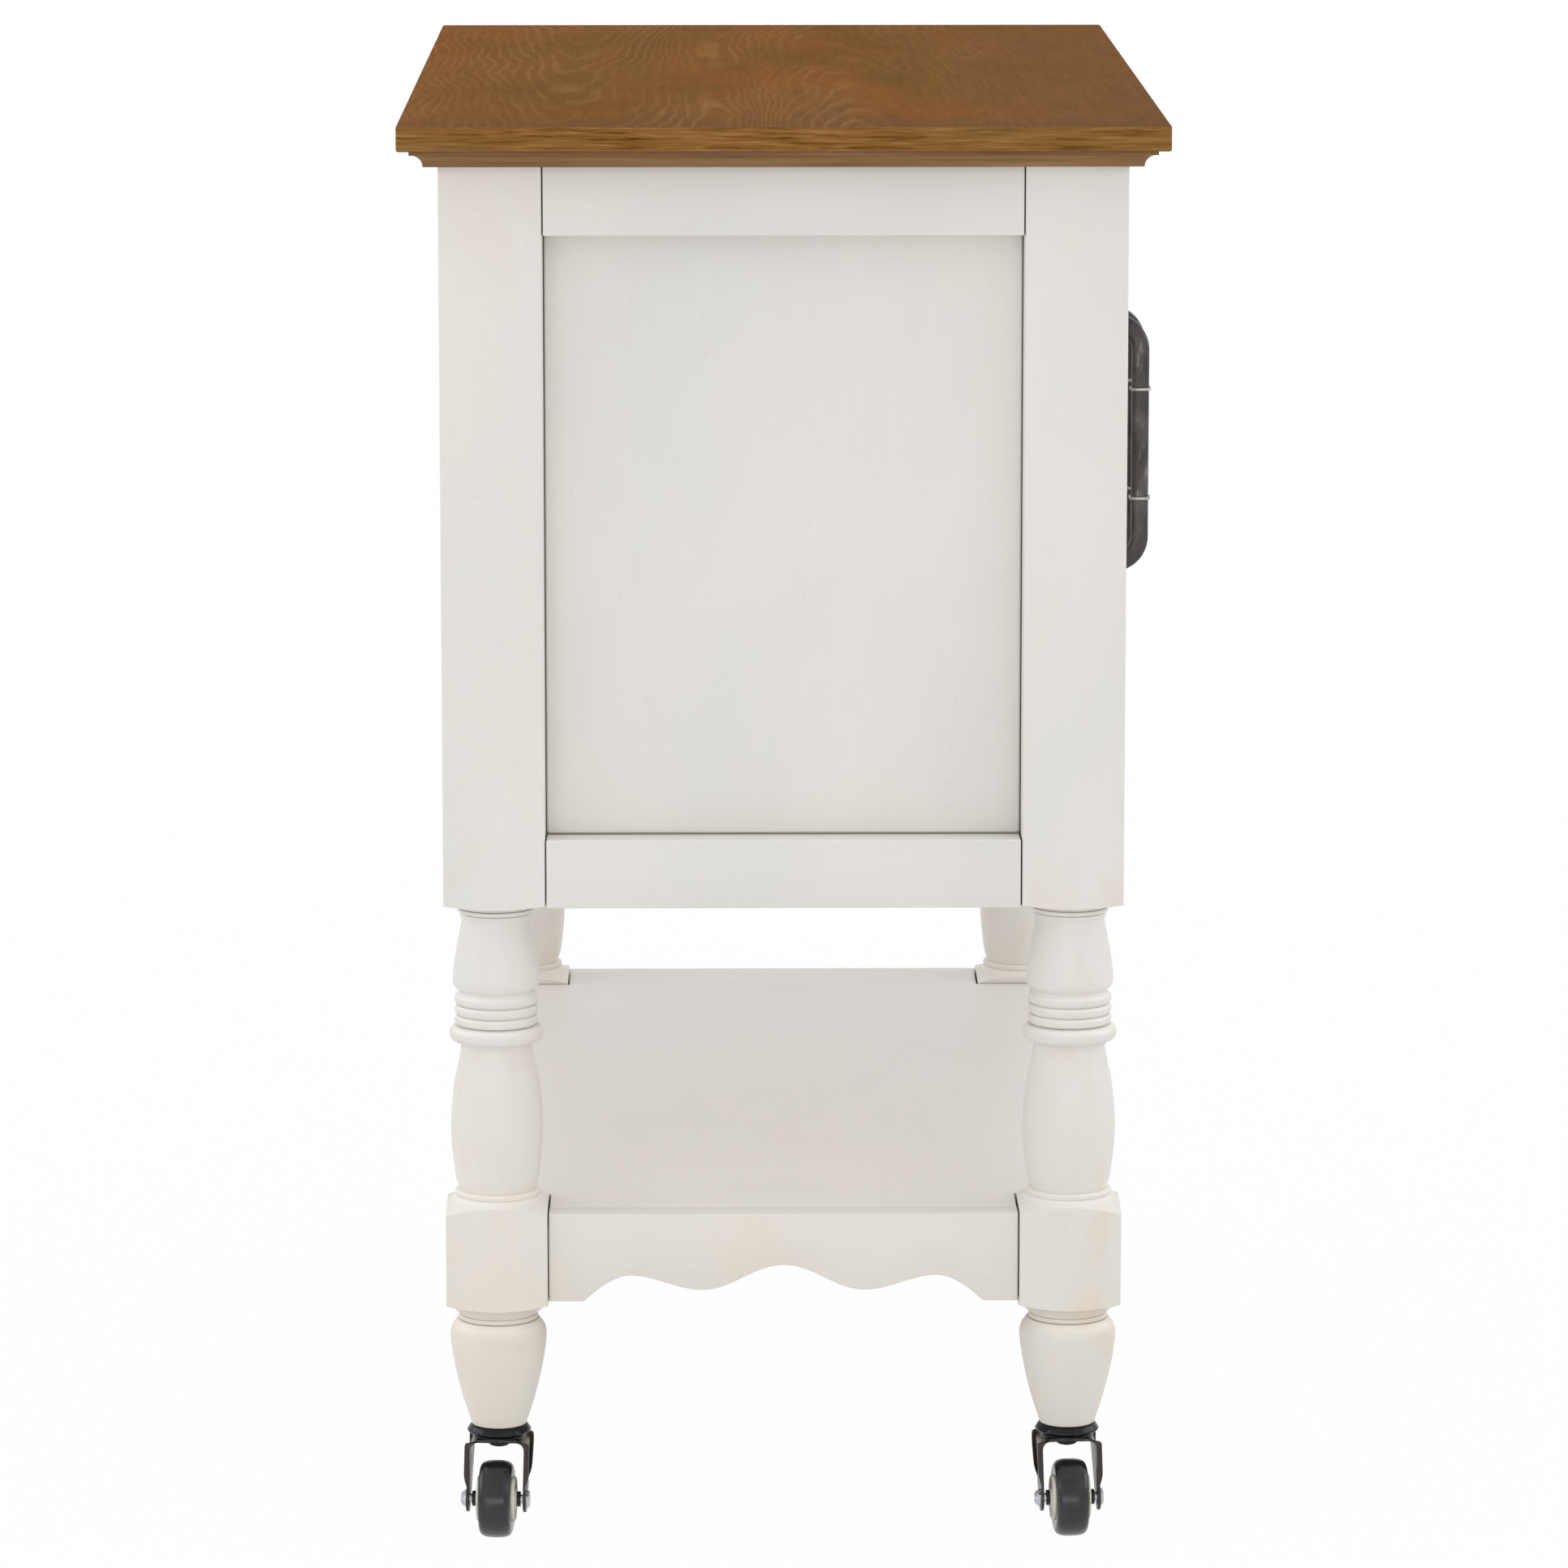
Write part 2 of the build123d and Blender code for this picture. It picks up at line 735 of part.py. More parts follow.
# Hub turned with a raised boss and a step each side, and a wide rib between the steps that carries the tyre
def caster_hub():
    half = hub_width / 2
    step = half - hub_boss_proud
    seat = tread_width / 2 - hub_seat_setback
    bore = axle_r + running_play
    outline = Polyline(
        (bore, -half), (hub_boss_r, -half), (hub_boss_r, -step), (hub_flange_r, -step), (hub_flange_r, -seat),
        (hub_r, -seat), (hub_r, seat), (hub_flange_r, seat), (hub_flange_r, step), (hub_boss_r, step),
        (hub_boss_r, half), (bore, half), close=True,
    )
    return Pos(-caster_trail, 0, wheel_r) * revolve(make_face(outline), Axis.Y)


def caster_tyre():
    half = tread_width / 2
    seat = half - hub_seat_setback
    tread = half - tread_shoulder
    outline = Polyline(
        (hub_r, -seat), (hub_flange_r, -seat), (hub_flange_r, -half), (wheel_r - tread_shoulder, -half),
        (wheel_r, -tread), (wheel_r, tread), (wheel_r - tread_shoulder, half), (hub_flange_r, half),
        (hub_flange_r, seat), (hub_r, seat), close=True,
    )
    return Pos(-caster_trail, 0, wheel_r) * revolve(make_face(outline), Axis.Y)


def main():
    os.makedirs("parts", exist_ok=True)
    corners = four_corners(leg_x, leg_y)
    save("worktop", worktop())
    save("top_mouldings", *top_mouldings())
    save("worktop_cleats", *worktop_cleats())
    for name, (x, y) in corners.items():
        save(f"leg_{name}", leg(x, y))
    turn_round = Rot(0, 0, 180)
    save("end_rails_left", *end_rails())
    save("end_rails_right", *[turn_round * rail for rail in end_rails()])
    save("end_panel_left", end_panel())
    save("end_panel_right", turn_round * end_panel())
    save("front_rails", *drilled_for_pivots(front_rails()))
    save("back_rails", *[turn_round * rail for rail in front_rails()])
    save("back_panel", back_panel())
    save("cabinet_floor", cabinet_floor())
    save("cabinet_shelf", cabinet_shelf())
    save("shelf_pins", *shelf_pins())
    save("lower_shelf", lower_shelf())
    save("shelf_cleats", *shelf_cleats())
    for name, board in aprons().items():
        save(name, board)
    pivots = door_pivots()
    save("door_pivots", *pivots, *[pivot.mirror(Plane.YZ) for pivot in pivots])
    save("door_catch", door_catch())
    stiles, rails, panel = door_frame_boards()
    door_pieces = {
        "stiles": stiles,
        "rails": rails,
        "panel": [panel],
        "pull": [pull()],
        "pull_bands": pull_bands(),
        "pull_screws": pull_screws(),
        "bushes": door_bushes(),
        "strike": [strike()],
    }
    for name, solids in door_pieces.items():
        save(f"door_left_{name}", *solids)
        save(f"door_right_{name}", *[solid.mirror(Plane.YZ) for solid in solids])
    save("caster_stems", *[Pos(x, y, 0) * caster_stem() for x, y in corners.values()])
    caster_pieces = {
        "fork": [caster_fork()],
        "axle": caster_axle(),
        "hub": [caster_hub()],
        "tyre": [caster_tyre()],
    }
    for name, (x, y) in corners.items():
        place = Pos(x, y, 0) * Rot(0, 0, caster_turns[name])
        for piece, solids in caster_pieces.items():
            save(f"caster_{name}_{piece}", *[place * solid for solid in solids])


main()
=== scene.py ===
import json
import math

import bpy
from mathutils import Matrix, Vector


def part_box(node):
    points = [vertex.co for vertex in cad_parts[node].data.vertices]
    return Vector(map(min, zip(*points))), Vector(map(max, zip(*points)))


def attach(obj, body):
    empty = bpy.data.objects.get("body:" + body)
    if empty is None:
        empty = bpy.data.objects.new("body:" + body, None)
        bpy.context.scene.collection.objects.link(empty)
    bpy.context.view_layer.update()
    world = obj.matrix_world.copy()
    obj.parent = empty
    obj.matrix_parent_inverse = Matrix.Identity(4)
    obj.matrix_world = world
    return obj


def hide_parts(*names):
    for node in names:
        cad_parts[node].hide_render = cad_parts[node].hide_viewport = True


# Kitchen cart: oak worktop, painted cabinet on turned legs, iron pulls, swivel casters.
# Metres, +Z up. The doors face -Y, and the photographed end is the -X end.

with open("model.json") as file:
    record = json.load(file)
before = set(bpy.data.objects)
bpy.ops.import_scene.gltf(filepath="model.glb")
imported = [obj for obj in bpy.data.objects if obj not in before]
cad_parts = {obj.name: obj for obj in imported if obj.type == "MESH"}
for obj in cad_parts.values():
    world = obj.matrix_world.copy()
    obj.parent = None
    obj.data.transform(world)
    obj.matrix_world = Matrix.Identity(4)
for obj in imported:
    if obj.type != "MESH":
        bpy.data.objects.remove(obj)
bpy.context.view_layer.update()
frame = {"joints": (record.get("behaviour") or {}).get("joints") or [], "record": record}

MM = 0.001
bodies = frame["record"]["behaviour"]["bodies"]
body_of = {node: body for body, nodes in bodies.items() for node in nodes}
joint_of = {joint["name"]: joint for joint in frame["joints"]}
CORNERS = ("front_left", "back_left", "front_right", "back_right")
SIDES = ("left", "right")
QUARTER = math.pi / 2
SAME_PLACE = 1e-6
RAIL = 44 * MM
CLEAT = 18 * MM


# Hand tools

def take(piece):
    bpy.ops.object.select_all(action="DESELECT")
    piece.select_set(True)
    bpy.context.view_layer.objects.active = piece


def edit(piece, kind="EDGE", wanted=None):
    """Open a mesh with the wanted vertices, edges or faces selected, or all of them."""
    take(piece)
    bpy.ops.object.mode_set(mode="EDIT")
    bpy.ops.mesh.select_mode(type=kind)
    bpy.ops.mesh.select_all(action="SELECT" if wanted is None else "DESELECT")
    if wanted is not None:
        bpy.ops.object.mode_set(mode="OBJECT")
        mesh = piece.data
        for item in {"VERT": mesh.vertices, "EDGE": mesh.edges, "FACE": mesh.polygons}[kind]:
            item.select = wanted(item)
        bpy.ops.object.mode_set(mode="EDIT")


def close():
    bpy.ops.object.mode_set(mode="OBJECT")


def span(piece, e):
    """The way along an edge."""
    a, b = (piece.data.vertices[i].co for i in e.vertices)
    return b - a


def rim(piece):
    """A test that picks the edges of one face only."""
    faces = {}
    for face in piece.data.polygons:
        for pair in face.edge_keys:
            faces[tuple(sorted(pair))] = faces.get(tuple(sorted(pair)), 0) + 1
    return lambda e: faces.get(tuple(sorted(e.vertices))) == 1


def settle(piece):
    """Put the piece's place into its mesh."""
    take(piece)
    bpy.ops.object.transform_apply(location=True, rotation=True, scale=True)
    return piece


def smooth(piece, angle=35):
    take(piece)
    bpy.ops.object.shade_smooth_by_angle(angle=math.radians(angle))
    return piece


def apply(piece, kind, **settings):
    """Add a modifier to a piece and apply it."""
    take(piece)
    bpy.ops.object.modifier_add(type=kind)
    modifier = piece.modifiers[-1]
    for key, value in settings.items():
        setattr(modifier, key, value)
    bpy.ops.object.modifier_apply(modifier=modifier.name)
    return piece


def join(name, pieces):
    take(pieces[0])
    for piece in pieces[1:]:
        piece.select_set(True)
    if len(pieces) > 1:
        bpy.ops.object.join()
    pieces[0].name = name
    return pieces[0]


def copy(piece, name, place):
    """A copy of a piece with its own mesh, moved to its place."""
    twin = piece.copy()
    twin.data = piece.data.copy()
    twin.name = name
    bpy.context.scene.collection.objects.link(twin)
    twin.matrix_world = place
    return settle(twin)


def drop(piece):
    bpy.data.objects.remove(piece)


def block(name, low, high):
    low, high = Vector(low), Vector(high)
    bpy.ops.mesh.primitive_cube_add(size=1, location=(low + high) / 2, scale=high - low)
    piece = bpy.context.object
    piece.name = name
    return settle(piece)


def board(name, low, high, ease=0.9 * MM):
    """A planed board with its edges rubbed down."""
    piece = block(name, low, high)
    edit(piece)
    bpy.ops.mesh.bevel(offset=ease, segments=3, profile=0.5, affect="EDGES")
    close()
    return smooth(piece)


def turned(name, outline, steps=96, axis="Z"):
    """A solid of revolution from its outline, as (radius, height) in millimetres from end to end."""
    bpy.ops.mesh.primitive_plane_add(size=MM, location=(0, 0, 0))
    piece = bpy.context.object
    piece.name = name
    bpy.ops.object.mode_set(mode="EDIT")
    bpy.ops.mesh.select_mode(type="VERT")
    bpy.ops.mesh.select_all(action="SELECT")
    bpy.ops.mesh.merge(type="CENTER")
    radius, height = outline[0]
    bpy.ops.transform.translate(value=(radius * MM, 0, height * MM))
    for next_radius, next_height in outline[1:]:
        push((next_radius - radius) * MM, 0, (next_height - height) * MM)
        radius, height = next_radius, next_height
    bpy.ops.mesh.select_all(action="SELECT")
    bpy.ops.mesh.spin(steps=steps, angle=math.tau, center=(0, 0, 0), axis=(0, 0, 1))
    mend()
    close()
    if axis == "Y":
        piece.rotation_euler = (math.radians(-90), 0, 0)
        settle(piece)
    return smooth(piece)


def between(p, q, r, s, t):
    """A smooth curve's value between q and r, with p before and s after them."""
    return 0.5 * (
        2 * q + (r - p) * t + (2 * p - 5 * q + 4 * r - s) * t**2 + (3 * q - p - 3 * r + s) * t**3
    )


def through(stations, bottom, top):
    """Points of a smooth curve through (radius, share of the height) stations."""
    fine = 7
    first = (2 * stations[0][0] - stations[1][0], 2 * stations[0][1] - stations[1][1])
    last = (2 * stations[-1][0] - stations[-2][0], 2 * stations[-1][1] - stations[-2][1])
    knots = [first] + list(stations) + [last]
    points = []
    for a, b, c, d in zip(knots, knots[1:], knots[2:], knots[3:]):
        for step in range(fine):
            t = step / fine
            points.append([between(p, q, r, s, t) for p, q, r, s in zip(a, b, c, d)])
    points.append(list(stations[-1]))
    return [(radius, bottom + share * (top - bottom)) for radius, share in points]


def rib(low, high, seat, belly, fine=8):
    """Half-round rib between two heights."""
    middle, half = (low + high) / 2, (high - low) / 2
    turns = [math.pi * step / fine for step in range(fine + 1)]
    return [(seat + (belly - seat) * math.sin(turn), middle - half * math.cos(turn)) for turn in turns]


# Small shapes

def cut(piece, low, high):
    """Take a block out of a piece."""
    cutter = block("cutter", low, high)
    apply(piece, "BOOLEAN", operation="DIFFERENCE", object=cutter, solver="EXACT")
    drop(cutter)


def soften(piece, ease, angle, steps=2):
    """Rub down the edges that are sharper than an angle."""
    limit = math.radians(angle)
    apply(piece, "BEVEL", width=ease, segments=steps, limit_method="ANGLE", angle_limit=limit)
    return smooth(piece, 40)


def push(x, y, z):
    bpy.ops.mesh.extrude_region_move(TRANSFORM_OT_translate={"value": (x, y, z)})


def mend():
    """Close seams and turn every face of the open mesh outwards."""
    bpy.ops.mesh.select_all(action="SELECT")
    bpy.ops.mesh.remove_doubles(threshold=SAME_PLACE)
    bpy.ops.mesh.normals_make_consistent(inside=False)


def rounded_face(name, width, depth, corner):
    """A flat face with rounded corners, lying about the origin."""
    bpy.ops.mesh.primitive_plane_add(size=1, location=(0, 0, 0))
    piece = bpy.context.object
    piece.name = name
    piece.scale = (width, depth, 1)
    settle(piece)
    edit(piece, "VERT")
    bpy.ops.mesh.bevel(offset=corner, segments=6, affect="VERTICES")
    close()
    return piece


def standing(piece, place, turn_x=0.0, turn_z=0.0):
    """Turn a piece about X, then Z, in degrees, and put it in its place."""
    about_x = Matrix.Rotation(math.radians(turn_x), 4, "X")
    about_z = Matrix.Rotation(math.radians(turn_z), 4, "Z")
    piece.matrix_world = Matrix.Translation(place) @ about_z @ about_x
    return settle(piece)


def cross_screw(name, head, head_height, shank, length):
    """A cross-headed screw with its head standing on z = 0 and its shank below."""
    outline = [(0.0, head_height), (head * 0.55, head_height * 0.94)]
    outline += [(head * 0.85, head_height * 0.66), (head, head_height * 0.2), (head, 0.0)]
    outline += [(shank, 0.0), (shank, -length + 1), (shank - 0.7, -length), (0.0, -length)]
    screw = turned(name, outline, steps=32)
    reach, groove, groove_depth = head * 0.62 * MM, head * 0.13 * MM, 1.1
    for x, y in ((reach, groove), (groove, reach)):
        cut(screw, (-x, -y, (head_height - groove_depth) * MM), (x, y, (head_height + 1) * MM))
    return smooth(screw, 30)


# Finishes

class Finish:
    """A node material with Object coordinates and one Principled shader."""

    def __init__(self, name, **constants):
        self.material = bpy.data.materials.new(name)
        self.material.use_nodes = True
        tree = self.material.node_tree
        self.nodes, self.links = tree.nodes, tree.links
        self.shader = self.nodes["Principled BSDF"]
        for key, value in constants.items():
            self.shader.inputs[key.replace("_", " ")].default_value = value
        self.place = self.nodes.new("ShaderNodeTexCoord").outputs["Object"]

    def add(self, kind, inputs=(), **settings):
        node = self.nodes.new("ShaderNode" + kind)
        for key, value in settings.items():
            setattr(node, key, value)
        for key, value in dict(inputs).items():
            self.put(node.inputs[key], value)
        return node

    def put(self, socket, value):
        if isinstance(value, bpy.types.NodeSocket):
            self.links.new(value, socket)
        else:
            socket.default_value = value

    def part_of(self, vector, axis):
        return self.add("SeparateXYZ", {"Vector": vector}).outputs[axis]

    def facing(self):
        """How far the surface faces up: 1 on top, 0 on a side, -1 below."""
        return self.part_of(self.add("TexCoord").outputs["Normal"], "Z")

    def stretched(self, scale):
        return self.add("Mapping", {"Vector": self.place, "Scale": scale}).outputs["Vector"]

    def noise(self, scale, detail=3.0, roughness=0.55, distortion=0.0):
        """Cloudy noise; scale gives cells per metre along X, Y and Z."""
        settings = {"Scale": 1.0, "Detail": detail, "Roughness": roughness, "Distortion": distortion}
        return self.add("TexNoise", {"Vector": self.stretched(scale), **settings}).outputs["Fac"]

    def maths(self, operation, first, second=0.0):
        return self.add("Math", {0: first, 1: second}, operation=operation).outputs[0]

    def ramp(self, factor, *stops, interpolation="LINEAR"):
        """Colours at places along a factor, each (place, (r, g, b)) or (place, grey)."""
        node = self.add("ValToRGB", {"Fac": factor})
        band = node.color_ramp
        band.interpolation = interpolation
        while len(band.elements) < len(stops):
            band.elements.new(0.5)
        for element, (place, colour) in zip(band.elements, stops):
            element.position = place
            element.color = (*colour, 1) if isinstance(colour, tuple) else (colour, colour, colour, 1)
        return node.outputs["Color"]

    def mix(self, factor, first, second, blend="MIX"):
        node = self.add("Mix", data_type="RGBA", blend_type=blend)
        self.put(node.inputs[0], factor)
        for socket, value in ((node.inputs[6], first), (node.inputs[7], second)):
            self.put(socket, (*value, 1) if isinstance(value, tuple) else value)
        return node.outputs[2]

    def bump(self, height, depth, normal=None):
        node = self.add("Bump", {"Height": height, "Distance": depth, "Strength": 1.0})
        if normal is not None:
            self.links.new(normal, node.inputs["Normal"])
        return node.outputs["Normal"]

    def seam(self, reach):
        """How close another piece stands, within a reach in millimetres; its own shape doesn't count. It masks
        painted shade where pieces meet.
        """
        own, all_round = self.shut_in(reach, True), self.shut_in(reach, False)
        return self.ramp(self.maths("SUBTRACT", own, all_round), (0.14, 0.0), (0.42, 0.9))

    def shut_in(self, reach, own):
        inputs = {"Distance": reach * MM}
        return self.add("AmbientOcclusion", inputs, samples=8, only_local=own).outputs["AO"]

    def finish(self, colour=None, roughness=None, normal=None):
        for key, value in (("Base Color", colour), ("Roughness", roughness), ("Normal", normal)):
            if value is not None:
                self.put(self.shader.inputs[key], value)
        return self.material


def tint(red, green, blue):
    """A colour as a screen shows it, 0 to 255, in the linear light that a shader takes."""
    shares = [part / 255 for part in (red, green, blue)]
    return tuple(share / 12.92 if share <= 0.04 else ((share + 0.055) / 1.055) ** 2.4 for share in shares)


def painted(name, grain, base=(229, 226, 221), reach=1.6, aged=0.15):
    """Antique white paint, brushed along the grain and stained low down; it also carries painted light: lighter
    where it faces up, yellower towards the floor as if lit from there, and painted shade in hollows and between
    pieces.
    """
    along = {"X": (1.0, 9.0, 9.0), "Y": (9.0, 1.0, 9.0), "Z": (9.0, 9.0, 1.0)}[grain]
    f = Finish(name)

    def near_base(*steps):
        return tint(*(part + step for part, step in zip(base, steps)))

    clouds = f.noise([6.0, 6.0, 3.6], detail=3.0, roughness=0.5, distortion=0.6)
    warm = f.noise([7.0, 7.0, 4.0], detail=2.0, roughness=0.5, distortion=0.3)
    strokes = f.noise([14.0 * part for part in along], detail=5.0, roughness=0.7)
    cool, plain_paint, pale = near_base(-4, -3, -3), near_base(0, 0, 0), near_base(3, 3, 3)
    colour = f.ramp(clouds, (0.3, cool), (0.5, plain_paint), (0.72, pale))
    colour = f.mix(f.ramp(warm, (0.52, 0.0), (0.7, 0.4)), colour, near_base(2, -3, -7))
    colour = f.mix(f.ramp(warm, (0.3, 0.35), (0.44, 0.0)), colour, near_base(-6, -4, -3))
    height = f.part_of(f.place, "Z")
    stains = f.noise([17.0, 17.0, 11.0], detail=4.0, roughness=0.6, distortion=0.5)
    stains = f.ramp(stains, (0.52, 0.0), (0.72, aged))
    stains = f.maths("MULTIPLY", stains, f.ramp(height, (0.38, 1.0), (0.5, 0.3)))
    colour = f.mix(stains, colour, tint(229, 214, 200))
    colour = f.mix(0.25, colour, f.ramp(strokes, (0.3, 0.92), (0.65, 1.0)), blend="MULTIPLY")
    # Painted highlight: faces turned up are made lighter, as if lit from above.
    colour = f.mix(f.ramp(f.facing(), (0.2, 0.0), (0.7, 0.75)), colour, near_base(18, 18, 18))
    # Painted light: yellower towards the floor, standing for warm light thrown up from the floor.
    colour = f.mix(f.ramp(height, (0.08, 1.0), (0.34, 0.0)), colour, (1.0, 0.975, 0.92), blend="MULTIPLY")
    # Darker in the paint's own hollows and creases: partly glaze left in the turned grooves, partly painted
    # shade.
    glaze_and_shade = f.ramp(f.shut_in(3.6, True), (0.2, 0.75), (0.62, 0.0))
    colour = f.mix(glaze_and_shade, colour, tint(164, 150, 134))
    # Painted shade where another piece stands close, in the gaps between parts.
    colour = f.mix(f.seam(reach), colour, tint(104, 92, 80))
    dents = f.noise([170.0, 170.0, 120.0], detail=2.0)
    pits = f.ramp(dents, (0.22, 1.0), (0.3, 0.0))
    normal = f.bump(strokes, 0.12 * MM)
    normal = f.bump(pits, -0.25 * MM, normal)
    sheen = f.ramp(strokes, (0.3, 0.36), (0.7, 0.5))
    return f.finish(colour, sheen, normal)


def oak(name, grain):
    """Straight oak with its grain along X or Y, as on the edge bands and the moulding."""
    along = {"X": (1.0, 26.0, 26.0), "Y": (26.0, 1.0, 26.0)}[grain]
    f = Finish(name, Specular_IOR_Level=0.25)
    fibres = f.noise([9.0 * part for part in along], detail=6.0, roughness=0.65)
    bands = f.noise([2.2 * part for part in along], detail=3.0, roughness=0.5, distortion=0.4)
    dark, middling, light, pale = tint(104, 72, 38), tint(130, 96, 56), tint(144, 108, 68), tint(156, 120, 80)
    colour = f.ramp(fibres, (0.3, dark), (0.42, middling), (0.58, light), (0.7, pale))
    colour = f.mix(f.ramp(bands, (0.42, 0.0), (0.7, 0.45)), colour, tint(122, 86, 50))
    # Painted shade where another piece stands close, as under the slab.
    colour = f.mix(f.seam(1.6), colour, tint(70, 40, 12))
    normal = f.bump(fibres, 0.1 * MM)
    return f.finish(colour, f.ramp(fibres, (0.3, 0.5), (0.7, 0.36)), normal)


def oak_top():
    """Plain-sawn oak: rings cut by the board's face as long arches, and straight grain along its edges."""
    f = Finish("oak_worktop", Specular_IOR_Level=0.0)
    along, across = f.part_of(f.place, "X"), f.part_of(f.place, "Y")
    along_share, across_share = f.maths("ADD", along, 0.5), f.maths("ADD", across, 0.5)
    sway = f.maths("MULTIPLY", f.noise([2.6, 5.0, 5.0], detail=3.0, roughness=0.5), 0.07)
    wobble = f.maths("MULTIPLY", f.noise([8.0, 60.0, 60.0], detail=4.0, roughness=0.6), 0.0026)
    drift = f.maths("MULTIPLY", f.noise([4.0, 30.0, 30.0], detail=2.0), 0.012)
    swayed = f.maths("ADD", across, sway)
    near = arches(f, along, swayed, 0.178, 0.05)
    far = arches(f, along, swayed, -0.005, -0.06)
    nearness = f.ramp(f.maths("ADD", swayed, 0.5), (0.54, 0.0), (0.62, 1.0), interpolation="EASE")
    level = f.mix(nearness, far, near)
    level = f.maths("ADD", f.maths("ADD", level, wobble), drift)
    rings = f.maths("FRACT", f.maths("MULTIPLY", level, 150.0))
    patches = f.noise([2.4, 8.0, 8.0], detail=4.0, roughness=0.6, distortion=0.4)
    ruddy = f.noise([2.6, 7.0, 9.0], detail=3.0, roughness=0.6)
    shown = f.noise([5.0, 16.0, 16.0], detail=3.0, roughness=0.6)
    mottle = f.noise([22.0, 90.0, 90.0], detail=3.0, roughness=0.7)
    fibres = f.noise([34.0, 700.0, 700.0], detail=3.0, roughness=0.7)
    dull, brown, warm, grey = tint(123, 91, 52), tint(133, 95, 57), tint(141, 99, 60), tint(131, 95, 63)
    field = f.ramp(patches, (0.34, dull), (0.46, brown), (0.57, warm), (0.68, grey))
    field = f.mix(f.ramp(ruddy, (0.46, 0.0), (0.68, 0.62)), field, tint(153, 96, 54))
    # Painted sheen: a greyer veil over the top towards its -X end and towards its door side (-Y), standing for
    # a soft reflection.
    field = f.mix(f.ramp(along_share, (0.07, 0.55), (0.16, 0.0)), field, tint(120, 88, 66))
    field = f.mix(f.ramp(across_share, (0.27, 0.5), (0.44, 0.0)), field, tint(124, 91, 64))
    field = f.mix(f.ramp(mottle, (0.3, 0.22), (0.5, 0.0)), field, tint(102, 70, 42))
    line = f.ramp(rings, (0.0, 0.0), (0.5, 0.0), (0.75, 1.0), (0.88, 0.7), (1.0, 0.0))
    line = f.maths("MULTIPLY", line, f.ramp(shown, (0.38, 0.03), (0.66, 0.4)))
    line = f.maths("MULTIPLY", line, f.ramp(across_share, (0.33, 0.2), (0.46, 1.0)))
    field = f.mix(line, field, tint(168, 130, 84))
    hairs = f.noise([9.0, 210.0, 210.0], detail=4.0, roughness=0.7, distortion=0.3)
    field = f.mix(0.6, field, f.ramp(hairs, (0.34, 0.82), (0.62, 1.0)), blend="MULTIPLY")
    field = f.mix(f.ramp(fibres, (0.26, 0.35), (0.42, 0.0)), field, tint(92, 60, 36))
    edge_fibres = f.noise([26.0, 26.0, 560.0], detail=5.0, roughness=0.65, distortion=0.35)
    edge_bands = f.noise([6.0, 6.0, 60.0], detail=3.0, roughness=0.5)
    deep, brown, light, pale = tint(100, 62, 25), tint(130, 90, 44), tint(143, 101, 53), tint(160, 120, 72)
    edge = f.ramp(edge_fibres, (0.36, deep), (0.45, brown), (0.55, light), (0.66, pale))
    edge = f.mix(f.ramp(edge_bands, (0.48, 0.0), (0.66, 0.45)), edge, tint(136, 106, 60))
    flat = f.ramp(f.maths("ABSOLUTE", f.facing()), (0.35, 0.0), (0.6, 1.0))
    # Painted shade where another piece stands close, as where the moulding meets the slab.
    colour = f.mix(f.seam(1.6), f.mix(flat, edge, field), tint(70, 40, 12))
    normal = f.bump(f.mix(flat, edge_fibres, fibres), 0.06 * MM)
    return f.finish(colour, f.ramp(fibres, (0.3, 0.62), (0.7, 0.5)), normal)


def arches(f, along, across, middle, taper):
    """Distance from a tapering trunk's heart: a board's face cuts its rings as arches."""
    off = f.maths("SUBTRACT", across, middle)
    heart = f.add("CombineXYZ", {"X": off, "Y": 0.03})
    distance = f.add("VectorMath", {0: heart.outputs["Vector"]}, operation="LENGTH").outputs["Value"]
    return f.maths("SUBTRACT", distance, f.maths("MULTIPLY", along, taper))


def iron():
    """Dark hammered iron, rubbed bright in places."""
    f = Finish("dark_iron", Metallic=0.85)
    blotch = f.noise([60.0, 60.0, 40.0], detail=4.0, roughness=0.6)
    rub = f.noise([140.0, 140.0, 30.0], detail=4.0, roughness=0.7)
    colour = f.ramp(blotch, (0.3, tint(62, 58, 58)), (0.55, tint(84, 80, 79)), (0.75, tint(104, 99, 96)))
    colour = f.mix(f.ramp(rub, (0.6, 0.0), (0.78, 0.7)), colour, tint(170, 166, 162))
    normal = f.bump(blotch, 0.35 * MM)
    return f.finish(colour, f.ramp(rub, (0.3, 0.52), (0.7, 0.36)), normal)


def hazy(name, light, dark, rough, cells, **constants):
    """One colour with a faint haze in its shade, polish and surface."""
    f = Finish(name, **constants)
    haze = f.noise([cells, cells, cells], detail=3.0, roughness=0.6)
    polish = f.ramp(haze, (0.3, rough[0]), (0.7, rough[1]))
    return f.finish(f.ramp(haze, (0.3, dark), (0.7, light)), polish, f.bump(haze, 0.03 * MM))


def metal(name, colour, rough, metallic=1.0):
    return hazy(name, colour, tuple(part * 0.8 for part in colour), rough, 90.0, Metallic=metallic)


def moulded(name, light, dark, rough=(0.35, 0.5), shine=0.5):
    return hazy(name, light, dark, rough, 120.0, Specular_IOR_Level=shine)


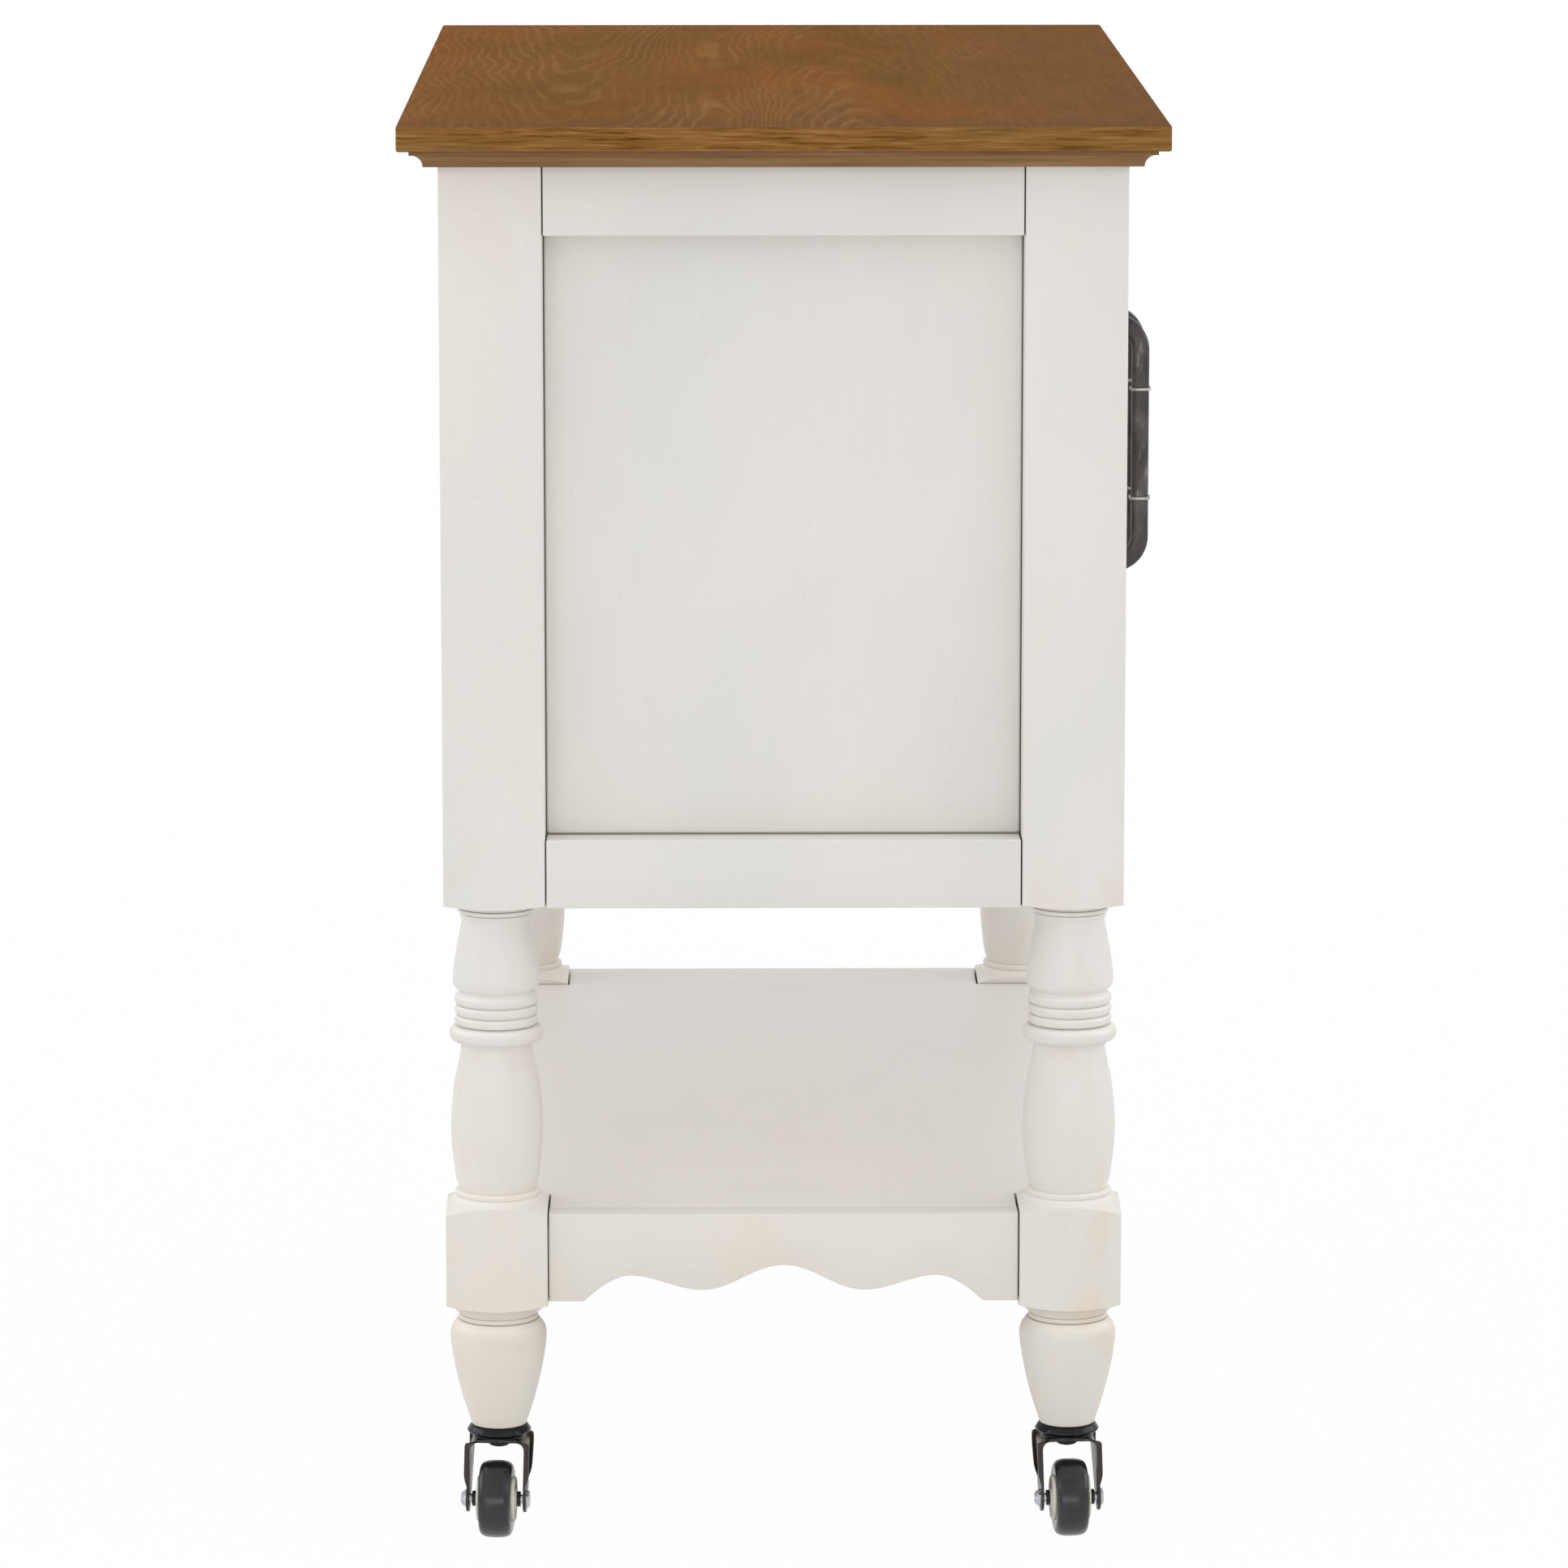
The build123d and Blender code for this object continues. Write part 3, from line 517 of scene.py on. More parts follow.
FINISHES = {
    "paint_x": painted("paint_brushed_along_x", "X"),
    "paint_y": painted("paint_brushed_along_y", "Y"),
    "paint_z": painted("paint_brushed_upright", "Z"),
    # The shelf takes the same paint written lighter, as painted light for the light shut out under the cabinet.
    "paint_shelf_painted_light": painted("paint_of_shelf_painted_light", "X", (235, 231, 231)),
    # The legs take the same paint written a little lighter, as painted light; their heavier stains are real.
    "paint_leg": painted("paint_of_legs", "Z", (231, 228, 223), aged=0.85),
    # The panel's wider reach gives more painted shade, for the shadow under the top rail.
    "paint_panel": painted("paint_of_panel", "Z", (231, 228, 223), reach=2.6),
    "oak_top": oak_top(),
    "oak_x": oak("oak_moulding_long", "X"),
    "oak_y": oak("oak_moulding_end", "Y"),
    "iron": iron(),
    "band": metal("bright_iron_wire", tint(190, 186, 180), rough=(0.25, 0.4)),
    "zinc": metal("zinc_plate", tint(196, 200, 206), rough=(0.2, 0.38)),
    "pivot": metal("pivot_steel", tint(176, 174, 170), rough=(0.28, 0.42)),
    "black_steel": moulded("black_steel", tint(24, 22, 24), tint(14, 13, 14), rough=(0.12, 0.22), shine=0.3),
    "fork_steel": metal("fork_steel", tint(60, 53, 49), metallic=0.5, rough=(0.26, 0.4)),
    "tyre": moulded("tyre_rubber", tint(41, 41, 45), tint(28, 28, 31), rough=(0.16, 0.3)),
    "hub": moulded("hub_plastic", tint(232, 228, 214), tint(222, 217, 202)),
    "catch": moulded("catch_plastic", tint(236, 235, 230), tint(226, 224, 218)),
}


def fit(piece, node, finish=None):
    """Finish a piece that stands for a CAD node, and let it move with the node's body."""
    if finish is not None:
        piece.data.materials.clear()
        piece.data.materials.append(FINISHES[finish])
    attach(piece, body_of[node])
    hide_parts(node)
    return piece


# Worktop and its moulded frame

def worktop():
    low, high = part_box("worktop")
    corner_round, edge_round = 2.5 * MM, 1.2 * MM
    slab = block("worktop_slab", low, high)
    edit(slab, "EDGE", lambda e: abs(span(slab, e).z) > 10 * MM)
    bpy.ops.mesh.bevel(offset=corner_round, segments=6, profile=0.5, affect="EDGES")
    close()
    edit(slab, "EDGE", lambda e: abs(span(slab, e).z) < 1e-5)
    bpy.ops.mesh.bevel(offset=edge_round, segments=3, profile=0.5, affect="EDGES")
    close()
    fit(smooth(slab), "worktop", "oak_top")


def moulded_frame():
    """Frame under the slab, drawn loop by loop: lip, cove, underside and back."""
    low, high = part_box("top_mouldings")
    middle = (low + high) / 2
    lip, cove, shoulder, depth = 2.8 * MM, 7.9 * MM, 0.5 * MM, 67.3 * MM
    steps = 10
    turns = [QUARTER * step / steps for step in range(steps + 1)]
    outline = [(0.0, high.z), (0.0, high.z - lip)]
    outline += [(cove * math.sin(turn) + shoulder, low.z + cove * math.cos(turn)) for turn in turns]
    outline += [(depth, low.z), (depth, high.z)]
    half = (high - low) / 2
    bpy.ops.mesh.primitive_plane_add(size=1, location=(middle.x, middle.y, high.z))
    piece = bpy.context.object
    piece.scale = (2 * half.x, 2 * half.y, 1)
    settle(piece)
    edit(piece, "EDGE")
    bpy.ops.mesh.delete(type="ONLY_FACE")
    close()
    inset, height = outline[0]
    edit(piece, "EDGE")
    for next_inset, next_height in outline[1:]:
        factor = ((half.x - next_inset) / (half.x - inset), (half.y - next_inset) / (half.y - inset), 1)
        bpy.ops.mesh.extrude_edges_move(TRANSFORM_OT_translate={"value": (0, 0, next_height - height)})
        bpy.ops.transform.resize(value=factor, center_override=(middle.x, middle.y, next_height))
        inset, height = next_inset, next_height
    close()
    edit(piece, "EDGE", rim(piece))
    bpy.ops.mesh.bridge_edge_loops()
    mend()
    close()
    piece.name = "moulded_frame"
    fit(smooth(piece, 40), "top_mouldings", "oak_x")
    piece.data.materials.append(FINISHES["oak_y"])
    for face in piece.data.polygons:
        place = face.center - middle
        face.material_index = 1 if abs(place.x) / half.x > abs(place.y) / half.y else 0


# Turned legs

BLOCK_BOTTOM, BLOCK_TOP, CASE_BOTTOM = 151.4, 219.2, 414.0
FOOT = [(18.0, 0.0), (23.8, 0.27), (28.2, 0.54), (30.9, 0.8), (30.3, 0.92), (26.8, 1.0)]
BALUSTER = [(24.4, 0.0), (27.3, 0.12), (29.7, 0.42), (28.0, 0.71), (24.6, 0.9), (23.0, 1.0)]
UPPER_VASE = [(24.3, 0.0), (27.2, 0.06), (27.9, 0.17), (26.7, 0.42), (24.4, 0.7), (22.2, 0.94), (22.0, 1.0)]


def leg_outline(bottom, top):
    """Outline of a whole leg; on the blocks it runs wider than their corners."""
    half, corner = 32.5, 46.5
    foot_top = BLOCK_BOTTOM - 11.0
    outline = [(0.0, bottom), (16.6, bottom), (17.6, bottom + 0.5)]
    outline += through(FOOT, bottom + 1.4, foot_top)
    outline += rib(foot_top + 0.4, foot_top + 3.6, 24.6, 25.6, 5)
    outline += [(25.6, foot_top + 4.4), (26.8, foot_top + 5.6), (half, BLOCK_BOTTOM)]
    outline += [(corner - 6, BLOCK_BOTTOM + 2.2), (corner, BLOCK_BOTTOM + 4.6)]
    outline += [(corner, BLOCK_TOP - 4.6), (corner - 6, BLOCK_TOP - 2.2), (half, BLOCK_TOP)]
    outline += [(30.0, BLOCK_TOP + 0.9), (28.3, BLOCK_TOP + 2.0), (27.3, BLOCK_TOP + 3.2)]
    outline += rib(BLOCK_TOP + 3.5, BLOCK_TOP + 6.7, 26.9, 27.5, 6)
    torus_bottom, torus_top, bead_height, beads = 323.6, 334.0, 6.8, 3
    outline += through(BALUSTER, BLOCK_TOP + 7.4, torus_bottom - 5.0)
    outline += [(23.1, torus_bottom - 3.4), (23.6, torus_bottom - 1.8), (24.6, torus_bottom - 0.6)]
    outline += rib(torus_bottom, torus_top, 25.6, 30.3, 12)
    for bead in range(beads):
        low = torus_top + 0.2 + bead_height * bead
        outline += rib(low + 0.4, low + bead_height - 0.2, 24.9, 26.9, 8)
    beads_top = torus_top + 0.2 + beads * bead_height
    outline += [(24.2, beads_top + 0.4), (23.9, beads_top + 1.6)]
    vase_top = CASE_BOTTOM - 10.4
    outline += through(UPPER_VASE, beads_top + 2.4, vase_top)
    outline += rib(vase_top + 0.4, vase_top + 3.6, 22.2, 23.1, 6)
    outline += rib(vase_top + 3.9, vase_top + 7.0, 23.2, 24.6, 6)
    outline += [(24.4, vase_top + 7.4), (half, CASE_BOTTOM)]
    outline += [(corner - 6, CASE_BOTTOM + 1.5), (corner, CASE_BOTTOM + 2.9)]
    outline += [(corner, top), (0.0, top)]
    return outline


def legs():
    low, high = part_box("leg_front_left")
    turning = turned("leg_turning", leg_outline(low.z / MM, high.z / MM + 1), steps=128)
    half = (high.x - low.x) / 2
    blank = block("leg_blank", (-half, -half, low.z - 0.01), (half, half, high.z))
    edit(blank, "EDGE", lambda e: abs(span(blank, e).z) > 0.1)
    bpy.ops.mesh.bevel(offset=1.4 * MM, segments=3, profile=0.5, affect="EDGES")
    close()
    apply(turning, "BOOLEAN", operation="INTERSECT", object=blank, solver="EXACT")
    soften(turning, 0.5 * MM, 42)
    for corner in CORNERS:
        low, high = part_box(f"leg_{corner}")
        middle = (low + high) / 2
        leg = copy(turning, f"turned_leg_{corner}", Matrix.Translation((middle.x, middle.y, 0)))
        fit(smooth(leg, 40), f"leg_{corner}", "paint_leg")
    drop(blank)
    drop(turning)


# Case, shelves and aprons

def pair_of_boards(name, node, size, axis, finish):
    """Two equal boards at the two ends of a node's box along an axis."""
    low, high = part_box(node)
    first_high, second_low = high.copy(), low.copy()
    first_high[axis] = low[axis] + size
    second_low[axis] = high[axis] - size
    pieces = [board(name, low, first_high), board(name, second_low, high)]
    fit(join(name, pieces), node, finish)


def single_board(name, node, finish):
    low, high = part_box(node)
    fit(board(name, low, high), node, finish)


def notched(name, node, finish):
    """A board cut round the four leg blocks."""
    low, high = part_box(node)
    piece = block(name, low, high)
    gap = Vector((1.0, 1.0, 0.0)) * MM
    for corner in CORNERS:
        leg_low, leg_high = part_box(f"leg_{corner}")
        cut(piece, leg_low - gap, leg_high + gap)
    soften(piece, 0.8 * MM, 40)
    fit(smooth(piece), node, finish)


SCALLOP = [(0.0, 23.6), (52.0, 7.3), (99.0, 16.9)]
SCALLOP_END = 128.0


def scallop_rise(place, widen):
    """Height of the scallop above the apron's flat ends, at a distance from its middle, in millimetres."""
    place = abs(place) / widen
    crests = SCALLOP + [(SCALLOP_END, 0.0)]
    for (near, near_rise), (far, far_rise) in zip(crests, crests[1:]):
        if place <= far:
            share = (place - near) / (far - near)
            eased = share**1.7 if far == SCALLOP_END else (1 - math.cos(share * math.pi)) / 2
            return near_rise + (far_rise - near_rise) * eased
    return 0.0


def apron(name, node, along, widen):
    """A board with a scalloped lower edge, running along X (0) or Y (1)."""
    low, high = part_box(node)
    middle = (low + high) / 2
    run = high[along] - low[along]
    depth = high[1 - along] - low[1 - along]
    columns = 180
    bpy.ops.mesh.primitive_grid_add(x_subdivisions=columns, y_subdivisions=1, size=1)
    piece = bpy.context.object
    piece.name = name
    piece.scale = (run, high.z - low.z, 1)
    settle(piece)
    for vertex in piece.data.vertices:
        if vertex.co.y < 0:
            vertex.co.y += scallop_rise(vertex.co.x / MM, widen) * MM
    edit(piece, "FACE")
    push(0, 0, depth)
    bpy.ops.mesh.select_all(action="SELECT")
    bpy.ops.mesh.normals_make_consistent(inside=False)
    close()
    standing(piece, (0, 0, 0), turn_x=90, turn_z=90 * along)
    points = [v.co for v in piece.data.vertices]
    ends = [(min(p[i] for p in points), max(p[i] for p in points)) for i in range(3)]
    piece.location = middle - Vector([(least + most) / 2 for least, most in ends])
    settle(piece)
    fit(soften(piece, 0.9 * MM, 50), node, "paint_y" if along else "paint_x")


def case():
    for side in SIDES:
        pair_of_boards(f"end_rails_{side}_boards", f"end_rails_{side}", RAIL, 2, "paint_y")
        single_board(f"end_panel_{side}_board", f"end_panel_{side}", "paint_panel")
    for side in ("front", "back"):
        pair_of_boards(f"{side}_rails_boards", f"{side}_rails", RAIL, 2, "paint_x")
    single_board("back_panel_board", "back_panel", "paint_z")
    notched("cabinet_floor_board", "cabinet_floor", "paint_x")
    single_board("cabinet_shelf_board", "cabinet_shelf", "paint_x")
    notched("lower_shelf_board", "lower_shelf", "paint_shelf_painted_light")
    (end_low, end_high), (side_low, side_high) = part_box("apron_left"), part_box("apron_front")
    widen = (side_high.x - side_low.x) / (end_high.y - end_low.y)
    for side, along, width in (("front", 0, widen), ("back", 0, widen), ("left", 1, 1.0), ("right", 1, 1.0)):
        apron(f"apron_{side}_board", f"apron_{side}", along, width)
    pair_of_boards("worktop_cleat_strips", "worktop_cleats", CLEAT, 1, "paint_x")
    cleats()
    shelf_supports()


# Doors

def door(side):
    """Two grooved stiles, two rails with their tongues, and the panel between them."""
    stiles_low, stiles_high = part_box(f"door_{side}_stiles")
    rails_low, rails_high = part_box(f"door_{side}_rails")
    panel_low, panel_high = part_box(f"door_{side}_panel")
    stile = rail = 50 * MM
    past, play = 1 * MM, 0.2 * MM
    inner_low, inner_high = stiles_low.x + stile, stiles_high.x - stile
    upright = [
        board("first_stile", stiles_low, (inner_low, stiles_high.y, stiles_high.z)),
        board("second_stile", (inner_high, stiles_low.y, stiles_low.z), stiles_high),
    ]
    stiles = join(f"door_{side}_stile_boards", upright)
    groove_low = (rails_low.x, panel_low.y, stiles_low.z - past)
    groove_high = (rails_high.x, panel_high.y, stiles_high.z + past)
    cut(stiles, groove_low, groove_high)
    fit(smooth(stiles), f"door_{side}_stiles", "paint_z")
    cross = []
    for bottom in (rails_low.z, rails_high.z - rail):
        top = bottom + rail
        cross.append(board("cross_rail", (inner_low, rails_low.y, bottom), (inner_high, rails_high.y, top)))
        tongue_low = (rails_low.x, panel_low.y, bottom + play)
        tongue_high = (rails_high.x, panel_high.y, top - play)
        cross.append(board("tongue", tongue_low, tongue_high, ease=0.4 * MM))
    rails = join(f"door_{side}_rail_boards", cross)
    fit(rails, f"door_{side}_rails", "paint_x")
    fit(board(f"door_{side}_panel_board", panel_low, panel_high, 0.4 * MM), f"door_{side}_panel", "paint_z")


def bow_pulls():
    """Bar pushed out from the door, round, down and back in; the second pull is a copy."""
    low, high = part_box("door_left_pull")
    middle = (low + high) / 2
    bar, width, bend = 11.5 * MM, 13 * MM, 18.25 * MM
    reach = (high.z - low.z - bar) / 2
    straight = high.y - low.y - bar / 2 - bend
    pull = rounded_face("bar_section", width, bar, 3 * MM)
    standing(pull, (middle.x, high.y, middle.z + reach), turn_x=90)
    edit(pull, "FACE")
    push(0, -straight, 0)
    for turn in (1, -1):
        centre = (middle.x, high.y - straight, middle.z + turn * (reach - bend))
        bpy.ops.mesh.spin(steps=14, angle=QUARTER, center=centre, axis=(-1, 0, 0))
        if turn == 1:
            for _ in range(12):
                push(0, 0, -2 * (reach - bend) / 12)
    push(0, straight, 0)
    mend()
    close()
    smooth(pull, 40)
    for side in SIDES:
        side_low, side_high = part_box(f"door_{side}_pull")
        shift = (side_low + side_high) / 2 - middle
        fit(copy(pull, f"bow_pull_{side}", Matrix.Translation(shift)), f"door_{side}_pull", "iron")
    drop(pull)


def pull_bands():
    """Wires round the pull: a rounded loop, pushed up and rubbed round."""
    proud, height = 1.4 * MM, 2.2 * MM
    for side in SIDES:
        low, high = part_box(f"door_{side}_pull_bands")
        middle = (low + high) / 2
        bands = []
        for bottom in (low.z, high.z - height):
            band = rounded_face("band", high.x - low.x, high.y - low.y, 4.4 * MM)
            edit(band, "FACE")
            bpy.ops.mesh.inset(thickness=proud, use_even_offset=True)
            bpy.ops.mesh.delete(type="FACE")
            bpy.ops.mesh.select_all(action="SELECT")
            push(0, 0, height)
            mend()
            close()
            standing(band, (middle.x, middle.y, bottom))
            bands.append(soften(band, 0.62 * MM, 50, 3))
        fit(join(f"pull_bands_{side}", bands), f"door_{side}_pull_bands", "band")


def pull_screws():
    for side in SIDES:
        low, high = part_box(f"door_{side}_pull_screws")
        x = (low.x + high.x) / 2
        screws = []
        for z in (low.z + 4.2 * MM, high.z - 4.2 * MM):
            screw = cross_screw("pull_screw", 4.2, 2.4, 2.0, 29)
            screws.append(standing(screw, (x, high.y - 2.4 * MM, z), turn_x=-90))
        fit(join(f"pull_screws_{side}", screws), f"door_{side}_pull_screws", "zinc")


def pivots_and_bushes():
    """Pins in the front rails, and the bushes in the doors that turn on them."""
    low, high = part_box("door_pivots")
    pin = [(0.0, -12.0), (1.5, -12.0), (2.0, -11.5), (2.0, 0.0), (3.2, 0.0), (3.4, 0.2), (3.4, 1.5), (3.2, 1.7)]
    pin += [(2.0, 1.7), (2.0, 13.5), (1.5, 14.0), (0.0, 14.0)]
    tube = [(2.05, 0.0), (3.0, 0.0), (3.2, 0.2), (3.2, 11.8), (3.0, 12.0), (2.05, 12.0), (2.05, 0.0)]
    pins = []
    collar, sunk = 3.4 * MM, 12 * MM
    for x in (low.x + collar, high.x - collar):
        y = (low.y + high.y) / 2
        pins.append(standing(turned("pin", pin, 40), (x, y, low.z + sunk)))
        pins.append(standing(turned("pin", pin, 40), (x, y, high.z - sunk), turn_x=180))
    fit(join("door_pivot_pins", pins), "door_pivots", "pivot")
    for side in SIDES:
        low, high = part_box(f"door_{side}_bushes")
        x, y = (low.x + high.x) / 2, (low.y + high.y) / 2
        bushes = [standing(turned("bush", tube, 40), (x, y, z)) for z in (low.z, high.z - 12 * MM)]
        fit(join(f"door_bushes_{side}", bushes), f"door_{side}_bushes", "pivot")


def catch_and_strikes():
    low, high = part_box("door_catch")
    body = board("catch_body", low, high, ease=1.2 * MM)
    body.data.materials.append(FINISHES["catch"])
    pieces = [body]
    window, magnet = Vector((8, 0, 5)) * MM, Vector((7.6, 0, 4.6)) * MM
    for side in SIDES:
        plate_low, plate_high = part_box(f"door_{side}_strike")
        x, z = (plate_low.x + plate_high.x) / 2, (plate_low.z + plate_high.z) / 2
        cut(body, Vector((x, low.y - MM, z)) - window, Vector((x, low.y + 1.2 * MM, z)) + window)
        front, back = Vector((x, low.y + 0.3 * MM, z)), Vector((x, low.y + 1.4 * MM, z))
        face = board("magnet_face", front - magnet, back + magnet, ease=0.3 * MM)
        face.data.materials.append(FINISHES["pivot"])
        screw = cross_screw("catch_screw", 2.6, 0.9, 1.0, 3)
        standing(screw, (x, high.y - 0.9 * MM, z + 6 * MM), turn_x=-90)
        screw.data.materials.append(FINISHES["zinc"])
        pieces += [face, screw]
        plate = rounded_face("strike_plate", plate_high.x - plate_low.x, plate_high.z - plate_low.z, 2 * MM)
        standing(plate, (x, plate_high.y, z), turn_x=90)
        edit(plate, "FACE")
        push(0, plate_low.y - plate_high.y, 0)
        mend()
        close()
        soften(plate, 0.25 * MM, 50)
        fit(plate, f"door_{side}_strike", "pivot")
    fit(join("magnetic_catch", pieces), "door_catch")


def shelf_supports():
    low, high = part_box("shelf_pins")
    outline = [(0.0, -10.0), (2.0, -10.0), (2.5, -9.5), (2.5, 0.0), (3.8, 0.0), (4.0, 0.2), (4.0, 0.5)]
    outline += [(3.8, 0.7), (2.5, 0.9), (2.5, 7.4), (2.2, 8.4), (1.3, 8.9), (0.0, 9.0)]
    pins = []
    for x, turn in ((low.x + 10 * MM, 90), (high.x - 10 * MM, -90)):
        for y in (low.y + 4 * MM, high.y - 4 * MM):
            pin = turned("pin", outline, 32)
            pins.append(standing(pin, (x, y, (low.z + high.z) / 2), turn_x=90, turn_z=turn))
    fit(join("shelf_pin_set", pins), "shelf_pins", "zinc")


def cleats():
    """Strips under the cabinet floor and under the lower shelf, each with four screws."""
    low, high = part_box("shelf_cleats")
    pieces = []
    for carried, bottom in (("lower_shelf", low.z), ("cabinet_floor", high.z - CLEAT)):
        carried_low, carried_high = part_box(carried)
        for front in (carried_low.y, carried_high.y - CLEAT):
            strip_low, strip_high = (low.x, front, bottom), (high.x, front + CLEAT, bottom + CLEAT)
            strip = board("strip", strip_low, strip_high, ease=1.2 * MM)
            strip.data.materials.append(FINISHES["paint_x"])
            pieces.append(strip)
            for share in (0.08, 0.36, 0.64, 0.92):
                screw = cross_screw("cleat_screw", 4.0, 0.9, 1.6, 6)
                screw.data.materials.append(FINISHES["zinc"])
                place = (low.x + share * (high.x - low.x), front + CLEAT / 2, bottom)
                pieces.append(standing(screw, place, turn_x=180))
    fit(join("shelf_cleat_strips", pieces), "shelf_cleats")


# Casters, drawn about the stem with the wheel trailing towards -X

HUB_HALF, TREAD_HALF, FORK_IN, FORK_OUT, FLANGE_OUT = 13.2, 10.5, 15.7, 17.5, 20.9
FORK_TOP, AXLE_HIGH, TRAIL, EAR = 61.0, 25.0, 20.0, 8.5


def caster_cap():
    """Rivet, stem and cap plate in one turning."""
    outline = [(0.0, 55.4), (4.4, 55.5), (6.2, 56.1), (7.0, 57.2), (7.0, 58.1), (4.0, 58.2), (4.0, 64.4)]
    outline += [(17.0, 64.4), (18.0, 64.6), (20.1, 65.6), (20.6, 66.1), (20.7, 66.6), (20.5, 67.2)]
    outline += [(18.9, 69.4), (18.3, 70.1)]
    outline += [(17.6, 70.4), (4.0, 70.4), (4.0, 104.8), (3.4, 105.4), (0.0, 105.4)]
    return turned("cap", outline, 72)


def flange_reach(z):
    """How far the flange stands out at a height: nothing by the axle, full above it, rounded at the top."""
    rise = min(max((z - AXLE_HIGH - 6) / 11, 0), 1)
    reach = FORK_OUT + (FLANGE_OUT - FORK_OUT) * math.sin(rise * math.pi / 2)
    over = max(z - FORK_TOP + 2, 0)
    return reach - 2 + math.sqrt(max(4 - over**2, 0))


def fork():
    """Sheet folded over the wheel, trimmed to its side outline, with its edges turned out as flanges."""
    nose, nose_top = 17.0, 54.0
    sheet = block("fork", (-30 * MM, -FORK_OUT * MM, 10 * MM), (nose * MM, FORK_OUT * MM, FORK_TOP * MM))
    edit(sheet, "FACE", lambda f: f.normal.z < -0.9 or abs(f.normal.x) > 0.9)
    bpy.ops.mesh.delete(type="FACE")
    close()
    points = sheet.data.vertices
    edit(sheet, "EDGE", lambda e: abs(span(sheet, e).x) > 40 * MM and points[e.vertices[0]].co.z > 50 * MM)
    bpy.ops.mesh.bevel(offset=5 * MM, segments=6, profile=0.5, affect="EDGES")
    close()
    trim = []
    for corner_x, corner_z, back in ((-nose, FORK_TOP, True), (nose, nose_top, False)):
        away = math.atan2(AXLE_HIGH - corner_z, -TRAIL - corner_x)
        far = math.hypot(AXLE_HIGH - corner_z, -TRAIL - corner_x)
        lean = math.acos(EAR / far)
        trim.append(away + math.pi + (lean if back else -lean))
    first, last = trim
    while last < first:
        last += math.tau
    cuts = 16
    for step in range(cuts + 1):
        turn = first + (last - first) * step / cuts
        normal = (math.cos(turn), 0, math.sin(turn))
        place = (-TRAIL + EAR * normal[0], 0, AXLE_HIGH + EAR * normal[2])
        edit(sheet)
        bpy.ops.mesh.bisect(plane_co=[part * MM for part in place], plane_no=normal, clear_outer=True)
        close()
    for height in range(31, 56, 3):
        edit(sheet)
        bpy.ops.mesh.bisect(plane_co=(0, 0, height * MM), plane_no=(0, 0, 1))
        close()
    on_rim = rim(sheet)
    edit(sheet, "EDGE", lambda e: on_rim(e) and arm_edge(sheet, e))
    push(0, 0, 0)
    close()
    for vertex in sheet.data.vertices:
        if vertex.select:
            vertex.co.y = math.copysign(flange_reach(vertex.co.z / MM) * MM, vertex.co.y)
    edit(sheet)
    mend()
    close()
    apply(sheet, "SOLIDIFY", thickness=1.8 * MM, offset=-1, use_even_offset=False)
    edit(sheet, "VERT", lambda v: abs(v.co.y) < 12.6 * MM and v.co.z < 60 * MM)
    bpy.ops.transform.translate(value=(0, 0, -0.7 * MM))
    close()
    soften(sheet, 0.35 * MM, 50)
    sheet.data.materials.append(FINISHES["fork_steel"])
    race = [(4.05, 61.0), (15.0, 61.0), (16.6, 61.3), (17.0, 62.0), (17.0, 63.0), (16.5, 63.8), (15.4, 64.1)]
    race += [(4.05, 64.1), (4.05, 61.0)]
    raceway = turned("raceway", race, 72)
    raceway.data.materials.append(FINISHES["black_steel"])
    return join("fork", [sheet, raceway])


def arm_edge(sheet, e):
    """Whether an open edge belongs to one of the fork's arms, above the axle."""
    ends = [sheet.data.vertices[i].co / MM for i in e.vertices]
    same_side = ends[0].y * ends[1].y > 0
    above_axle = min(end.z for end in ends) > AXLE_HIGH + 5.9
    return same_side and above_axle and min(abs(end.y) for end in ends) > 12.4


def hexagon(name, start, end, outer):
    """Hexagonal bar along Y whose outer face is turned to a round."""
    bpy.ops.mesh.primitive_cylinder_add(vertices=6, radius=10 / math.sqrt(3) * MM, depth=(end - start) * MM)
    nut = bpy.context.object
    nut.name = name
    standing(nut, (0, (start + end) / 2 * MM, 0), turn_x=90)
    inner = start if outer == end else end
    turn = 1 if outer > inner else -1
    outline = [(0.0, inner - turn), (7.0, inner - turn), (7.0, outer - 1.4 * turn), (5.7, outer - 0.7 * turn)]
    outline += [(4.7, outer), (0.0, outer)]
    crown = turned("crown", outline, 48, axis="Y")
    apply(nut, "BOOLEAN", operation="INTERSECT", object=crown, solver="EXACT")
    drop(crown)
    return soften(nut, 0.2 * MM, 30)


def axle():
    zinc = [hexagon("bolt_head", -21.5, -17.5, -21.5), hexagon("nut", 17.5, 21.4, 21.4)]
    collar = [(0.0, 21.0), (4.5, 21.0), (4.5, 21.9), (4.2, 22.5), (3.2, 22.6), (3.0, 22.4)]
    collar += [(3.0, 23.0), (0.0, 23.1)]
    zinc.append(turned("nut_collar", collar, 40, axis="Y"))
    zinc.append(turned("shaft", [(0.0, -17.6), (3.0, -17.6), (3.0, 17.6), (0.0, 17.6)], 40, axis="Y"))
    black = []
    low, high = HUB_HALF + 0.3, FORK_IN
    ring = [(3.05, low), (4.7, low), (5.0, low + 0.3), (5.0, high - 0.3)]
    ring += [(4.7, high), (3.05, high), (3.05, low)]
    for side in (-1, 1):
        black.append(turned("spacer", [(radius, side * place) for radius, place in ring], 40, axis="Y"))
    for pieces, finish in ((zinc, "zinc"), (black, "black_steel")):
        for piece in pieces:
            piece.data.materials.append(FINISHES[finish])
    return join("axle", zinc + black)


def mirrored(half_outline):
    """An outline across the wheel from its half towards +Y, drawn from the middle out."""
    return [(radius, -place) for radius, place in reversed(half_outline)] + half_outline


